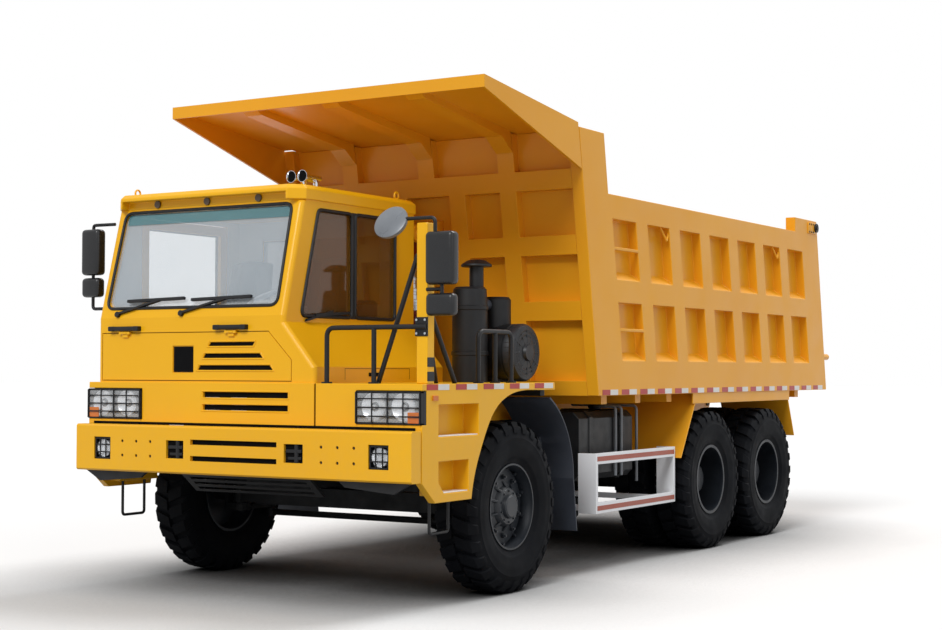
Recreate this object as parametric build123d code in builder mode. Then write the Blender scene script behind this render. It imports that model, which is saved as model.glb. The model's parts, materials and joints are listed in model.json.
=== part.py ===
from build123d import *
import os

os.makedirs("parts", exist_ok=True)

# A six-wheel mining dump truck. Its nose points to -Y and its left side to +X. The ground is Z 0.

# Wheels
front_axle_y = -2960
wheel_base = 3950
bogie_pitch = 1500
axle_z = 685
tyre_radius = 685
tyre_width = 375
tyre_sides = 18
tyre_bead_radius = 352
tyre_bead_depth = 45
tyre_wall_radius = 505
tyre_shoulder_radius = 628
tyre_tread_width = 335
lug_depth = 33
lug_length = 118
round_sides = 16
small_sides = 10
front_wheel_x = 1445
twin_outer_x = 1445
twin_pitch = 430
rim_radius = 345
rim_width = 300
rim_wall = 20
rim_disc_depth = 95
rim_disc_thickness = 24
hub_radius = 150
hub_cap_radius = 95
hub_cap_length = 40
front_hub_length = 185
spindle_radius = 70
spindle_clearance = 1
twin_dish_depth = 255
twin_hub_length = 330
rear_axle_1_y = front_axle_y + wheel_base
rear_axle_2_y = rear_axle_1_y + bogie_pitch
twin_inner_x = twin_outer_x - twin_pitch

# Frame
rail_outer_x = 440
rail_inner_x = 360
rail_web = 16
rail_bottom_z = 1000
rail_top_z = 1300
rail_rear_y = 3700
cross_width = 120
cross_height = 200
outrigger_x = 1590
outrigger_height = 70

# Bumper
bumper_half_width = 1660
bumper_front_y = -4510
bumper_depth = 125
bumper_bottom_z = 955
bumper_top_z = 1333
bumper_wall = 40
bumper_rib = 76
fog_lamp_x = 1370
fog_lamp_size = 180
fog_lamp_z = 1140
tow_pocket_x = 590
tow_pocket_width = 180
tow_pocket_height = 142
tow_pocket_z = 1146
tow_pin_radius = 24
bumper_slot_width = 860
bumper_slot_height = 40
bumper_slot_gap = 128
bumper_hole_x = 1000
bumper_hole_pitch_x = 150
bumper_hole_pitch_z = 115
bumper_hole_radius = 13
rail_front_y = bumper_front_y + bumper_depth

# Fenders and decks
fender_half_width = 1660
fender_front_y = -4370
deck_rear_y = -2370
deck_top_z = 1675
deck_thickness = 40
fender_seam_x = 690
fender_seam = 13
front_panel_bottom_z = 1350
fender_skin = 60
fender_bottom_z = 797
step_depth = 100
step_wall = 18
step_front_y = -4146
upper_step_rear_y = -3581
upper_step_bottom_z = 1282
upper_step_top_z = 1521
lower_step_rear_y = -3727
lower_step_bottom_z = 862
lower_step_top_z = 1100
headlamp_x = 1365
headlamp_width = 590
headlamp_height = 250
headlamp_z = 1500
headlamp_depth = 66
lamp_gap = 2
panel_slot_width = 850
panel_slot_height = 44
panel_slot_z = 1530
panel_slot_pitch = 100

# Mirror post, rails and hanging steps
post_size = 96
post_x = 1612
post_y = -4255
post_top_z = 2860
tube_radius = 19
rail_inner_post_x = 762
rail_mid_post_x = 1197
rail_top_height = 420
hoop_x = 1600
hoop_front_y = -3490
hoop_rear_y = -2990
hoop_height = 405
hang_step_front_y = -4090
hang_step_rear_y = -3830
hang_step_bottom_z = 545
hang_step_x = 1540

mirror_out_x = 1908
mirror_head_width = 244
mirror_small_width = 200
mirror_head_depth = 110
mirror_head_height = 390
mirror_low_height = 165
mirror_corner = 30
left_mirror_z = 2398
right_mirror_z = 2575
round_mirror_x = 1345
round_mirror_radius = 140

# Cab
cab_right_x = -1590
cab_left_x = 360
cab_front_y = -4340
cab_rear_y = -2540
cab_floor_z = 1675
cab_sill_z = 2200
cab_eaves_z = 3120
cab_brow_y = -4105
cab_wall = 50
skirt_x = 660
skirt_low_z = 1800
skirt_high_z = 2150
roof_overhang = 14
roof_height = 120
roof_brow_y = -4190
roof_corner = 110
windshield_bottom_z = 2285
windshield_top_z = 3085
windshield_edge = 85
window_corner = 70
pane_corner = 45
visor_thickness = 60
glass_thickness = 8
glass_gap = 2
pane_gap = 0.8
side_window_bottom_z = 2200
side_window_top_z = 3050
side_window_front_y = -4020
side_window_rear_y = -2830
side_window_slope = 0.26
divider_y = -3430
divider_width = 45
rear_window_width = 1300
rear_window_bottom_z = 2350
rear_window_top_z = 2950
door_front_y = -3880
door_rear_y = -2760
door_bottom_z = 1740
door_top_z = 3080
door_gap = 8
door_frame = 90
door_sill_z = 2180
hatch_left_x = -1545
hatch_right_x = 440
hatch_corner_x = 212
hatch_corner_z = 1856
hatch_bottom_z = 1686
hatch_top_z = 2080
hatch_thickness = 40
hatch_gap = 7
badge_x = -660
badge_z = 1860
badge_size = 220
barrel_radius = 13
barrel_length = 60
hinge_play = 0.5
hinge_cheek = 28
hinge_offset = 16
door_hinge_x = cab_right_x - hinge_offset
door_hinge_y = door_front_y + door_gap
door_hinge_zs = (1950, 2850)
hatch_hinge_y = cab_front_y - hinge_offset
hatch_hinge_z = hatch_top_z - 4
hatch_hinge_xs = (-1278, -155)

# Dump body
body_half_width = 1614
body_inner_x = body_half_width - 114
body_bottom_z = 1551
body_front_y = -1489
body_rear_y = 4342
body_lean = 0.155
wall_top_z = 3350
post_width = 470
front_post_top_z = 3880
floor_thickness = 60
wall_plate = 20
panel_count = 7
panel_first_y = -1018
panel_pitch = 718
panel_width = 475
lower_panel_bottom_z = 1862
lower_panel_top_z = 2385
upper_panel_bottom_z = 2592
upper_panel_top_z = 3132
ledge_drop = 75
rung_radius = 14
front_rib_depth = 90
front_rib_width = 170
outer_rib_x = 850
inner_rib_x = 315
beam_1_bottom_z = 3360
beam_1_top_z = 3530
beam_2_bottom_z = 2790
beam_2_top_z = 2960
beam_3_bottom_z = 2215
beam_3_top_z = 2385
beam_4_top_z = 1680
sill_outer_x = 445
sill_inner_x = 355
sill_bottom_z = 1312
sill_front_y = -1380
cross_rib_count = 8
cross_rib_pitch = 690
cross_rib_width = 110
cross_rib_height = 80
canopy_front_y = -3428
canopy_front_top_z = front_post_top_z + 214
canopy_lip = 102
canopy_thickness = 30
canopy_cheek = 22
canopy_cheek_z = front_post_top_z - 360
canopy_foot_z = front_post_top_z - 180
canopy_rib_height = 85
corner_block_y = 3345
corner_block_top_z = 3510
latch_radius = 38
latch_z = 1935
latch_rear_y = 4510
body_fender_y_1 = rear_axle_1_y - 390
body_fender_y_2 = rear_axle_2_y + 605
body_fender_top_z = 1449
body_fender_front_y = rear_axle_1_y - 728
body_fender_front_z = 930
body_fender_rear_y = rear_axle_2_y + 800
body_fender_rear_z = 1047
body_fender_inner_x = 790
body_fender_outer_x = 1606
body_fender_sheet = 16

# Bed hinge, tailgate and hoist
bed_hinge_y = 3540
bed_hinge_z = 1400
bed_pin_radius = 40
bed_eye_radius = 82
pin_clearance = 1
hinge_ear = 30
hinge_side_gap = 6
gate_thickness = 90
gate_side_gap = 8
gate_floor_gap = 12
gate_plate = 25
gate_pivot_y = 3996
gate_pivot_z = 3430
gate_pin_radius = 28
gate_eye_radius = 62
gate_eye_width = 60
hoist_y = -2060
hoist_base_z = 900
hoist_eye_z = 3000
hoist_barrel_radius = 140
hoist_wall = 23
hoist_stage_gap = 1
hoist_stage_wall = 17
hoist_barrel_top_z = 2310
hoist_barrel_bottom_z = 985
hoist_stage_rise = 100
hoist_eye_radius = 78
hoist_eye_width = 90
hoist_ear_gap = 12
hoist_ear = 30
hoist_head_bottom_z = 2735

# Running gear
kingpin_x = 1190
kingpin_radius = 34
kingpin_boss_radius = 78
kingpin_boss_bottom_z = 605
kingpin_boss_top_z = 765
knuckle_ear_gap = 8
knuckle_ear_height = 62
knuckle_web_x = 1278
knuckle_web = 42
steer_arm_length = 420
steer_arm_z = 545
steer_arm_height = 40
tie_rod_radius = 28
tie_rod_eye_radius = 45
beam_width = 130
beam_height = 150
beam_z = 685
spring_width = 100
spring_thickness = 90
front_spring_span = 1300
front_spring_x = 400
front_spring_axle_z = 775
front_spring_end_z = 930
rear_spring_x = 520
rear_spring_axle_z = 850
rear_spring_centre_z = 1010
axle_tube_radius = 120
diff_radius = 265
diff_half = 150
diff_dome = 85
axle_end_radius = 88
prop_radius = 55
prop_z = 725
cradle_plate = 28
hoist_pin_radius = 40
hoist_foot_radius = 88
hoist_foot_width = 200

# Tanks, guards and other pieces
tank_inner_x = 640
tank_outer_x = 1320
tank_front_y = -1310
tank_rear_y = rear_axle_1_y - 1220
tank_bottom_z = 780
tank_top_z = 1400
tank_corner = 60
guard_x = 1555
guard_front_y = -1430
guard_rear_y = rear_axle_1_y - 765
guard_bottom_z = 510
guard_top_z = 1040
guard_rail = 95
guard_skin = 40
guard_end_width = 180
flap_outer_x = 1625
flap_inner_x = 1120
flap_sheet = 14
engine_width = 640
engine_front_y = -3950
engine_rear_y = -2400
gearbox_front_y = -2880
gearbox_bottom_z = 640
gearbox_top_z = 900
engine_bottom_z = 835
engine_top_z = 1560
cleaner_drum_radius = 245
cleaner_drum_x = 1350
cleaner_drum_length = 420
cleaner_drum_y = -2290
cleaner_drum_z = 1925
cleaner_can_radius = 155
cleaner_can_x = 1020
cleaner_can_y = -2680
cleaner_can_top_z = 2470
cleaner_cap_z = 2640

rear_axle_ys = (rear_axle_1_y, rear_axle_2_y)
flat_down = (270 - 180 / tyre_sides) % (360 / tyre_sides)
flat_up = 180 / round_sides
tread_radius = tyre_radius - lug_depth
wheel_axis_front = (front_axle_y, axle_z)
wheel_axis_rear = (rear_axle_1_y, axle_z)

# Tyres: flat-sided rings with lugs across the tread, one of them on the ground
tread_x = front_wheel_x - tyre_tread_width / 2
wall_rise = (tyre_width - tyre_tread_width) / 2
with BuildPart() as bead_pocket:
    with BuildSketch(Plane.YZ.offset(front_wheel_x + tyre_width / 2 - tyre_bead_depth - 1)):
        with Locations(wheel_axis_front):
            RegularPolygon(tyre_wall_radius, tyre_sides, major_radius=False, rotation=flat_down)
    extrude(amount=tyre_bead_depth + 2)
    pocket_floor = bead_pocket.faces().sort_by(Axis.X)[0]
    chamfer(
        pocket_floor.edges(),
        length=tyre_wall_radius - tyre_bead_radius,
        length2=tyre_bead_depth,
        reference=pocket_floor,
    )

with BuildPart() as tyre_front_left:
    with BuildSketch(Plane.YZ.offset(front_wheel_x - tyre_width / 2)):
        with Locations(wheel_axis_front):
            RegularPolygon(tyre_shoulder_radius, tyre_sides, major_radius=False, rotation=flat_down)
    extrude(amount=tyre_width)
    for wall_end in (0, -1):
        wall_face = tyre_front_left.faces().sort_by(Axis.X)[wall_end]
        chamfer(
            wall_face.edges(),
            length=tyre_shoulder_radius - tyre_wall_radius,
            length2=wall_rise,
            reference=wall_face,
        )
    with BuildSketch(Plane.YZ.offset(tread_x)):
        with Locations(wheel_axis_front):
            RegularPolygon(tread_radius, tyre_sides, major_radius=False, rotation=flat_down)
            with PolarLocations(tread_radius, tyre_sides, start_angle=-90):
                Rectangle(2 * lug_depth, lug_length)
    extrude(amount=tyre_tread_width)
    add(bead_pocket.part, mode=Mode.SUBTRACT)
    mirror(bead_pocket.part, about=Plane.YZ.offset(front_wheel_x), mode=Mode.SUBTRACT)
    with BuildSketch(Plane.YZ.offset(front_wheel_x - tyre_width)):
        with Locations(wheel_axis_front):
            RegularPolygon(rim_radius + 1, tyre_sides, major_radius=False, rotation=flat_down)
    extrude(amount=2 * tyre_width, mode=Mode.SUBTRACT)

with BuildPart() as tyre_front_right:
    mirror(tyre_front_left.part, about=Plane.YZ)

twin_shift = twin_outer_x - front_wheel_x
with BuildPart() as tyres_rear_left_1:
    add(tyre_front_left.part.moved(Location((twin_shift, wheel_base, 0))))
    add(tyre_front_left.part.moved(Location((twin_shift - twin_pitch, wheel_base, 0))))

with BuildPart() as tyres_rear_left_2:
    add(tyres_rear_left_1.part.moved(Location((0, bogie_pitch, 0))))

with BuildPart() as tyres_rear_right_1:
    mirror(tyres_rear_left_1.part, about=Plane.YZ)

with BuildPart() as tyres_rear_right_2:
    mirror(tyres_rear_left_2.part, about=Plane.YZ)

# Front rims: barrel, disc near the outer edge, hub that reaches out past the disc
front_rim_out_x = front_wheel_x + rim_width / 2
front_disc_x = front_rim_out_x - rim_disc_depth
front_hub_x = front_rim_out_x - front_hub_length
with BuildPart() as rim_front_left:
    with BuildSketch(Plane.YZ.offset(front_wheel_x - rim_width / 2)):
        with Locations(wheel_axis_front):
            RegularPolygon(rim_radius, tyre_sides, major_radius=False, rotation=flat_down)
            RegularPolygon(
                rim_radius - rim_wall, tyre_sides, major_radius=False, rotation=flat_down, mode=Mode.SUBTRACT
            )
    extrude(amount=rim_width)
    with BuildSketch(Plane.YZ.offset(front_disc_x - rim_disc_thickness)):
        with Locations(wheel_axis_front):
            RegularPolygon(rim_radius - rim_wall, tyre_sides, major_radius=False, rotation=flat_down)
    extrude(amount=rim_disc_thickness)
    with BuildSketch(Plane.YZ.offset(front_hub_x)):
        with Locations(wheel_axis_front):
            RegularPolygon(hub_radius, tyre_sides)
    extrude(amount=front_hub_length - hub_cap_length)
    with BuildSketch(Plane.YZ.offset(front_rim_out_x - hub_cap_length)):
        with Locations(wheel_axis_front):
            RegularPolygon(hub_cap_radius, small_sides)
    extrude(amount=hub_cap_length)
    with BuildSketch(Plane.YZ.offset(front_hub_x)):
        with Locations(wheel_axis_front):
            Circle(spindle_radius + spindle_clearance)
    extrude(amount=front_hub_length - 2 * hub_cap_length, mode=Mode.SUBTRACT)

with BuildPart() as rim_front_right:
    mirror(rim_front_left.part, about=Plane.YZ)

# Rear rims: one barrel carries both tyres, with a deep dish outside
twin_rim_in_x = twin_inner_x - rim_width / 2
twin_rim_out_x = twin_outer_x + rim_width / 2
twin_disc_x = twin_rim_out_x - twin_dish_depth
twin_hub_x = twin_disc_x + 130
with BuildPart() as rims_rear_left_1:
    with BuildSketch(Plane.YZ.offset(twin_rim_in_x)):
        with Locations(wheel_axis_rear):
            RegularPolygon(rim_radius, tyre_sides, major_radius=False, rotation=flat_down)
            RegularPolygon(
                rim_radius - rim_wall, tyre_sides, major_radius=False, rotation=flat_down, mode=Mode.SUBTRACT
            )
    extrude(amount=twin_rim_out_x - twin_rim_in_x)
    with BuildSketch(Plane.YZ.offset(twin_disc_x - rim_disc_thickness)):
        with Locations(wheel_axis_rear):
            RegularPolygon(rim_radius - rim_wall, tyre_sides, major_radius=False, rotation=flat_down)
    extrude(amount=rim_disc_thickness)
    with BuildSketch(Plane.YZ.offset(twin_hub_x - twin_hub_length)):
        with Locations(wheel_axis_rear):
            RegularPolygon(hub_radius, tyre_sides)
    extrude(amount=twin_hub_length)
    with BuildSketch(Plane.YZ.offset(twin_hub_x - twin_hub_length)):
        with Locations(wheel_axis_rear):
            Circle(axle_end_radius + spindle_clearance)
    extrude(amount=twin_hub_length - hub_cap_length, mode=Mode.SUBTRACT)

with BuildPart() as rims_rear_left_2:
    add(rims_rear_left_1.part.moved(Location((0, bogie_pitch, 0))))

with BuildPart() as rims_rear_right_1:
    mirror(rims_rear_left_1.part, about=Plane.YZ)

with BuildPart() as rims_rear_right_2:
    mirror(rims_rear_left_2.part, about=Plane.YZ)

# Frame rails: two channels, open sides facing each other
with BuildPart() as frame_rails:
    with BuildSketch(Plane.XZ.offset(-rail_rear_y)):
        with Locations(((rail_outer_x + rail_inner_x) / 2, (rail_top_z + rail_bottom_z) / 2)):
            Rectangle(rail_outer_x - rail_inner_x, rail_top_z - rail_bottom_z)
        with Locations(((rail_outer_x + rail_inner_x) / 2 - rail_web, (rail_top_z + rail_bottom_z) / 2)):
            Rectangle(
                rail_outer_x - rail_inner_x, rail_top_z - rail_bottom_z - 2 * rail_web, mode=Mode.SUBTRACT
            )
    extrude(amount=rail_rear_y - rail_front_y)
    mirror(about=Plane.YZ)

# Cross members, outriggers under the decks, bed hinge ears and tow jaw
cross_span = 2 * (rail_outer_x - rail_web)
cross_z = (rail_top_z + rail_bottom_z) / 2
outrigger_z = deck_top_z - deck_thickness - outrigger_height / 2
hinge_ear_x = sill_inner_x - hinge_side_gap - hinge_ear / 2
with BuildPart() as crossmembers:
    for cross_y in (-4260, -1640, 300, 1740):
        with Locations((0, cross_y, cross_z)):
            Box(cross_span, cross_width, cross_height)
    for cross_y in (-4120, -2460):
        with Locations((0, cross_y, outrigger_z)):
            Box(2 * outrigger_x, 70, outrigger_height)
        with Locations(
            (rail_outer_x - 40, cross_y, (outrigger_z + rail_top_z) / 2),
            (40 - rail_outer_x, cross_y, (outrigger_z + rail_top_z) / 2),
        ):
            Box(60, 70, outrigger_z - rail_top_z)
    with Locations((0, bed_hinge_y, cross_z)):
        Box(cross_span, 240, cross_height)
    with BuildSketch(Plane.YZ.offset(hinge_ear_x - hinge_ear / 2)):
        with Locations((bed_hinge_y, (cross_z + bed_hinge_z) / 2)):
            Rectangle(2 * bed_eye_radius - 20, bed_hinge_z - cross_z)
        with Locations((bed_hinge_y, bed_hinge_z)):
            RegularPolygon(bed_eye_radius - 10, round_sides)
    ear = extrude(amount=hinge_ear)
    mirror(ear, about=Plane.YZ)
    with BuildSketch(Plane.YZ.offset(hinge_ear_x)):
        with Locations((bed_hinge_y, bed_hinge_z)):
            Circle(bed_pin_radius)
    pin = extrude(amount=sill_outer_x - hinge_ear_x + 12)
    mirror(pin, about=Plane.YZ)
    with Locations((0, rail_rear_y + 20, cross_z)):
        Box(cross_span + 2 * rail_web, 40, cross_height)
    with Locations((0, rail_rear_y + 100, cross_z + 55), (0, rail_rear_y + 100, cross_z - 55)):
        Box(130, 140, 30)
    with BuildSketch(Plane.XY.offset(cross_z - 120)):
        with Locations((0, rail_rear_y + 120)):
            Circle(tow_pin_radius)
    extrude(amount=240, mode=Mode.SUBTRACT)
    for lamp_side in (-1, 1):
        with Locations((lamp_side * 760, rail_rear_y - 20, cross_z - 60)):
            Box(640, 50, 110)
    with Locations((tow_pocket_x, -4350, tow_pocket_z), (-tow_pocket_x, -4350, tow_pocket_z)):
        Box(2 * (tow_pocket_x - rail_outer_x), 30, 110)

# Hoist cradle: two plates on the rails with the pin that carries the hoist
cradle_x = rail_inner_x - cradle_plate / 2
with BuildPart() as hoist_cradle:
    with Locations((cradle_x, hoist_y, 1060), (-cradle_x, hoist_y, 1060)):
        Box(cradle_plate, 240, 440)
    with Locations(Location((0, hoist_y, hoist_base_z), (0, 90, 0))):
        Cylinder(hoist_pin_radius, 2 * cradle_x)

# Bumper: hollow beam, open at the back, with pockets, slots and bolt holes
bumper_z = (bumper_bottom_z + bumper_top_z) / 2
bumper_height = bumper_top_z - bumper_bottom_z
with BuildPart() as bumper:
    with BuildSketch(Plane.XZ.offset(-bumper_front_y - bumper_depth)):
        with Locations((0, bumper_z)):
            Rectangle(2 * bumper_half_width, bumper_height)
    extrude(amount=bumper_depth)
    chamfer(bumper.edges().group_by(Axis.Y)[0].filter_by(Axis.X), length=14)
    with BuildSketch(Plane.XZ.offset(-bumper_front_y - bumper_depth)):
        with Locations((0, bumper_z)):
            Rectangle(2 * (bumper_half_width - bumper_wall), bumper_height - 2 * bumper_wall)
    extrude(amount=bumper_depth - bumper_wall, mode=Mode.SUBTRACT)
    with BuildSketch(Plane.XZ.offset(-bumper_front_y - bumper_depth)):
        with Locations((fog_lamp_x, fog_lamp_z), (-fog_lamp_x, fog_lamp_z)):
            Rectangle(fog_lamp_size, fog_lamp_size)
        with Locations((tow_pocket_x, tow_pocket_z), (-tow_pocket_x, tow_pocket_z)):
            Rectangle(tow_pocket_width, tow_pocket_height)
        with Locations((0, bumper_z)):
            with GridLocations(1, bumper_slot_gap, 1, 2):
                Rectangle(bumper_slot_width, bumper_slot_height)
        for hole_x in (bumper_hole_x, -bumper_hole_x):
            with Locations((hole_x, bumper_z)):
                with GridLocations(bumper_hole_pitch_x, bumper_hole_pitch_z, 3, 2):
                    RegularPolygon(bumper_hole_radius, 8)
    extrude(amount=bumper_depth + 10, mode=Mode.SUBTRACT)
    with BuildSketch(Plane.XZ.offset(-bumper_front_y - bumper_depth)):
        with Locations((rail_outer_x - 40, bumper_z), (40 - rail_outer_x, bumper_z)):
            Rectangle(bumper_rib, bumper_height)
    extrude(amount=bumper_depth - bumper_wall)

# Slatted guard under the bumper
with BuildPart() as under_guard:
    with BuildSketch(Plane.YZ.offset(-640)):
        Polygon((-4370, 945), (-4340, 945), (-4160, 800), (-4190, 800), align=None)
    extrude(amount=1280)
    with BuildSketch(Plane.XZ.offset(4390)):
        with Locations((0, 872)):
            with GridLocations(1, 42, 1, 3):
                Rectangle(1160, 20)
    extrude(amount=-400, mode=Mode.SUBTRACT)
    with Locations((380, -4270, 972.5), (-380, -4270, 972.5)):
        Box(60, 170, 55)

# Left fender: deck, front panel with lamp opening, side skin with arch and two steps
arch_y = -3683
with BuildPart() as fender_left:
    with BuildSketch(Plane.YZ.offset(fender_half_width - fender_skin)):
        with BuildLine():
            Polyline(
                (deck_rear_y, 1614),
                (deck_rear_y, deck_top_z),
                (fender_front_y, deck_top_z),
                (fender_front_y, 950),
                (-4193, fender_bottom_z),
                (arch_y, fender_bottom_z),
            )
            Spline((arch_y, fender_bottom_z), (-3621, 1015), (-3518, 1215), (-3371, 1427), (-3176, 1555))
            Spline((-3176, 1555), (-2955, 1608), (-2564, 1614), tangents=((0.92, 0.4), (1, 0)))
            Line((-2564, 1614), (deck_rear_y, 1614))
        make_face()
    extrude(amount=fender_skin)
    with BuildSketch(Plane.XY.offset(deck_top_z - deck_thickness)):
        with Locations(((fender_seam_x + fender_half_width) / 2, (fender_front_y + deck_rear_y) / 2)):
            Rectangle(fender_half_width - fender_seam_x, deck_rear_y - fender_front_y)
    extrude(amount=deck_thickness)
    with BuildSketch(Plane.XZ.offset(-fender_front_y - 40)):
        with Locations(((fender_seam_x + fender_half_width) / 2, (front_panel_bottom_z + deck_top_z) / 2)):
            Rectangle(fender_half_width - fender_seam_x, deck_top_z - front_panel_bottom_z)
    extrude(amount=40)
    step_x = fender_half_width - fender_skin - step_depth
    with BuildSketch(Plane.YZ.offset(step_x)):
        with Locations(((step_front_y + upper_step_rear_y) / 2, (upper_step_bottom_z + upper_step_top_z) / 2)):
            Rectangle(
                upper_step_rear_y - step_front_y + 2 * step_wall,
                upper_step_top_z - upper_step_bottom_z + 2 * step_wall,
            )
        with Locations(((step_front_y + lower_step_rear_y) / 2, (lower_step_bottom_z + lower_step_top_z) / 2)):
            Rectangle(
                lower_step_rear_y - step_front_y + 2 * step_wall,
                lower_step_top_z - lower_step_bottom_z + 2 * step_wall,
            )
    extrude(amount=step_depth)
    with BuildSketch(Plane.YZ.offset(step_x + step_wall)):
        with Locations(((step_front_y + upper_step_rear_y) / 2, (upper_step_bottom_z + upper_step_top_z) / 2)):
            Rectangle(upper_step_rear_y - step_front_y, upper_step_top_z - upper_step_bottom_z)
        Polygon(
            (step_front_y, lower_step_top_z),
            (step_front_y, lower_step_bottom_z + 80),
            (step_front_y + 75, lower_step_bottom_z),
            (lower_step_rear_y, lower_step_bottom_z),
            (lower_step_rear_y, lower_step_top_z),
            align=None,
        )
    extrude(amount=step_depth + fender_skin, mode=Mode.SUBTRACT)
    with BuildSketch(Plane.XZ.offset(-fender_front_y - 60)):
        with Locations((headlamp_x, headlamp_z)):
            Rectangle(headlamp_width, headlamp_height)
    extrude(amount=80, mode=Mode.SUBTRACT)

with BuildPart() as mirror_post:
    with BuildSketch(Plane.XY.offset(deck_top_z)):
        with Locations((post_x, post_y)):
            Rectangle(post_size, post_size)
    extrude(amount=post_top_z - deck_top_z)

# Right fender: the same on the other side, with the deck and panel in front of the cab
with BuildPart() as fender_right:
    mirror(fender_left.part, about=Plane.YZ)
    centre_width = 2 * fender_seam_x - fender_seam
    with BuildSketch(Plane.XY.offset(deck_top_z - deck_thickness)):
        with Locations((-fender_seam / 2, (fender_front_y + deck_rear_y) / 2)):
            Rectangle(centre_width, deck_rear_y - fender_front_y)
    extrude(amount=deck_thickness)
    with BuildSketch(Plane.XZ.offset(-fender_front_y - 40)):
        with Locations((-fender_seam / 2, (front_panel_bottom_z + deck_top_z) / 2)):
            Rectangle(centre_width, deck_top_z - front_panel_bottom_z)
    extrude(amount=40)
    with BuildSketch(Plane.XZ.offset(-fender_front_y - 60)):
        with Locations((0, panel_slot_z)):
            with GridLocations(1, panel_slot_pitch, 1, 2):
                Rectangle(panel_slot_width, panel_slot_height)
    extrude(amount=80, mode=Mode.SUBTRACT)

# Cab shell: hollow, with openings for windshield, windows, door and hatch
slope = (cab_brow_y - cab_front_y) / (cab_eaves_z - cab_sill_z)
windshield_low_y = cab_front_y + slope * (windshield_bottom_z - cab_sill_z)
windshield_high_y = cab_front_y + slope * (windshield_top_z - cab_sill_z)
cab_centre_x = (cab_left_x + cab_right_x) / 2
cab_width = cab_left_x - cab_right_x


def windshield_corners(inset):
    return (
        (cab_right_x + windshield_edge + inset, windshield_bottom_z + inset),
        (cab_left_x - windshield_edge - inset, windshield_bottom_z + inset),
        (cab_left_x - windshield_edge - 15 - inset, windshield_top_z - inset),
        (cab_right_x + windshield_edge + 15 + inset, windshield_top_z - inset),
    )


def front_pane_corners(inset):
    return (
        (side_window_front_y - side_window_slope * 420 + inset, side_window_bottom_z + inset),
        (side_window_front_y + side_window_slope * 430 + inset, side_window_top_z - inset),
        (divider_y - divider_width / 2 - inset, side_window_top_z - inset),
        (divider_y - divider_width / 2 - inset, side_window_bottom_z + inset),
    )


def rear_pane_corners(inset):
    return (
        (divider_y + divider_width / 2 + inset, side_window_bottom_z + inset),
        (divider_y + divider_width / 2 + inset, side_window_top_z - inset),
        (side_window_rear_y - inset, side_window_top_z - inset),
        (side_window_rear_y - inset, side_window_bottom_z + inset),
    )


with BuildPart() as cab_shell:
    with BuildSketch(Plane.YZ.offset(cab_right_x)):
        Polygon(
            (cab_front_y, cab_floor_z),
            (cab_front_y, cab_sill_z),
            (cab_brow_y, cab_eaves_z),
            (cab_rear_y, cab_eaves_z),
            (cab_rear_y, cab_floor_z),
            align=None,
        )
    extrude(amount=cab_width)
    with BuildSketch(Plane.XZ.offset(-cab_rear_y)):
        Polygon(
            (cab_left_x - cab_wall, cab_floor_z),
            (cab_left_x - cab_wall, skirt_high_z + 60),
            (cab_left_x, skirt_high_z),
            (skirt_x, skirt_low_z),
            (skirt_x, cab_floor_z),
            align=None,
        )
    extrude(amount=cab_rear_y - cab_front_y)
    with BuildSketch(Plane.YZ.offset(cab_right_x + cab_wall)):
        Polygon(
            (cab_front_y + cab_wall, cab_floor_z + cab_wall),
            (cab_front_y + cab_wall, cab_sill_z),
            (cab_brow_y + cab_wall, cab_eaves_z),
            (cab_brow_y + cab_wall, cab_eaves_z + 10),
            (cab_rear_y - cab_wall, cab_eaves_z + 10),
            (cab_rear_y - cab_wall, cab_floor_z + cab_wall),
            align=None,
        )
    extrude(amount=cab_width - 2 * cab_wall, mode=Mode.SUBTRACT)
    with BuildSketch(Plane.XZ.offset(-cab_front_y - 500)) as windshield_cut:
        Polygon(*windshield_corners(0), align=None)
        fillet(windshield_cut.vertices(), radius=window_corner)
    extrude(amount=600, mode=Mode.SUBTRACT)
    with BuildSketch(Plane.YZ.offset(cab_left_x - 2 * cab_wall)) as pane_cuts:
        Polygon(*front_pane_corners(0), align=None)
        Polygon(*rear_pane_corners(0), align=None)
        fillet(pane_cuts.vertices(), radius=pane_corner)
    extrude(amount=3 * cab_wall, mode=Mode.SUBTRACT)
    with BuildSketch(Plane.XZ.offset(-cab_rear_y - 20)):
        with Locations((cab_centre_x, (rear_window_bottom_z + rear_window_top_z) / 2)):
            Rectangle(rear_window_width, rear_window_top_z - rear_window_bottom_z)
    extrude(amount=2 * cab_wall, mode=Mode.SUBTRACT)
    with BuildSketch(Plane.YZ.offset(cab_right_x - 10)):
        with Locations(((door_front_y + door_rear_y) / 2, (door_bottom_z + door_top_z) / 2)):
            Rectangle(door_rear_y - door_front_y, door_top_z - door_bottom_z)
    extrude(amount=2 * cab_wall, mode=Mode.SUBTRACT)
    with BuildSketch(Plane.XZ.offset(-cab_front_y - hatch_thickness - hatch_gap)):
        Polygon(
            (hatch_left_x, hatch_bottom_z),
            (hatch_left_x, hatch_top_z),
            (hatch_corner_x, hatch_top_z),
            (hatch_right_x, hatch_corner_z),
            (hatch_right_x, hatch_bottom_z),
            align=None,
        )
    extrude(amount=hatch_thickness + hatch_gap + 10, mode=Mode.SUBTRACT)
    cheek_shift = barrel_length / 2 + hinge_play + hinge_cheek / 2
    cheek_width = 1.6 * barrel_radius
    for hinge_z in door_hinge_zs:
        with Locations(
            (door_hinge_x, door_hinge_y, hinge_z - cheek_shift),
            (door_hinge_x, door_hinge_y, hinge_z + cheek_shift),
        ):
            Box(cheek_width, cheek_width, hinge_cheek)
            with Locations((hinge_offset / 2, -17, 0)):
                Box(hinge_offset, 34, hinge_cheek)
    for hinge_x in hatch_hinge_xs:
        with Locations(
            (hinge_x - cheek_shift, hatch_hinge_y, hatch_hinge_z),
            (hinge_x + cheek_shift, hatch_hinge_y, hatch_hinge_z),
        ):
            Box(hinge_cheek, cheek_width, cheek_width)
            with Locations((0, hinge_offset / 2, 8)):
                Box(hinge_cheek, hinge_offset, 8)

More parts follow.
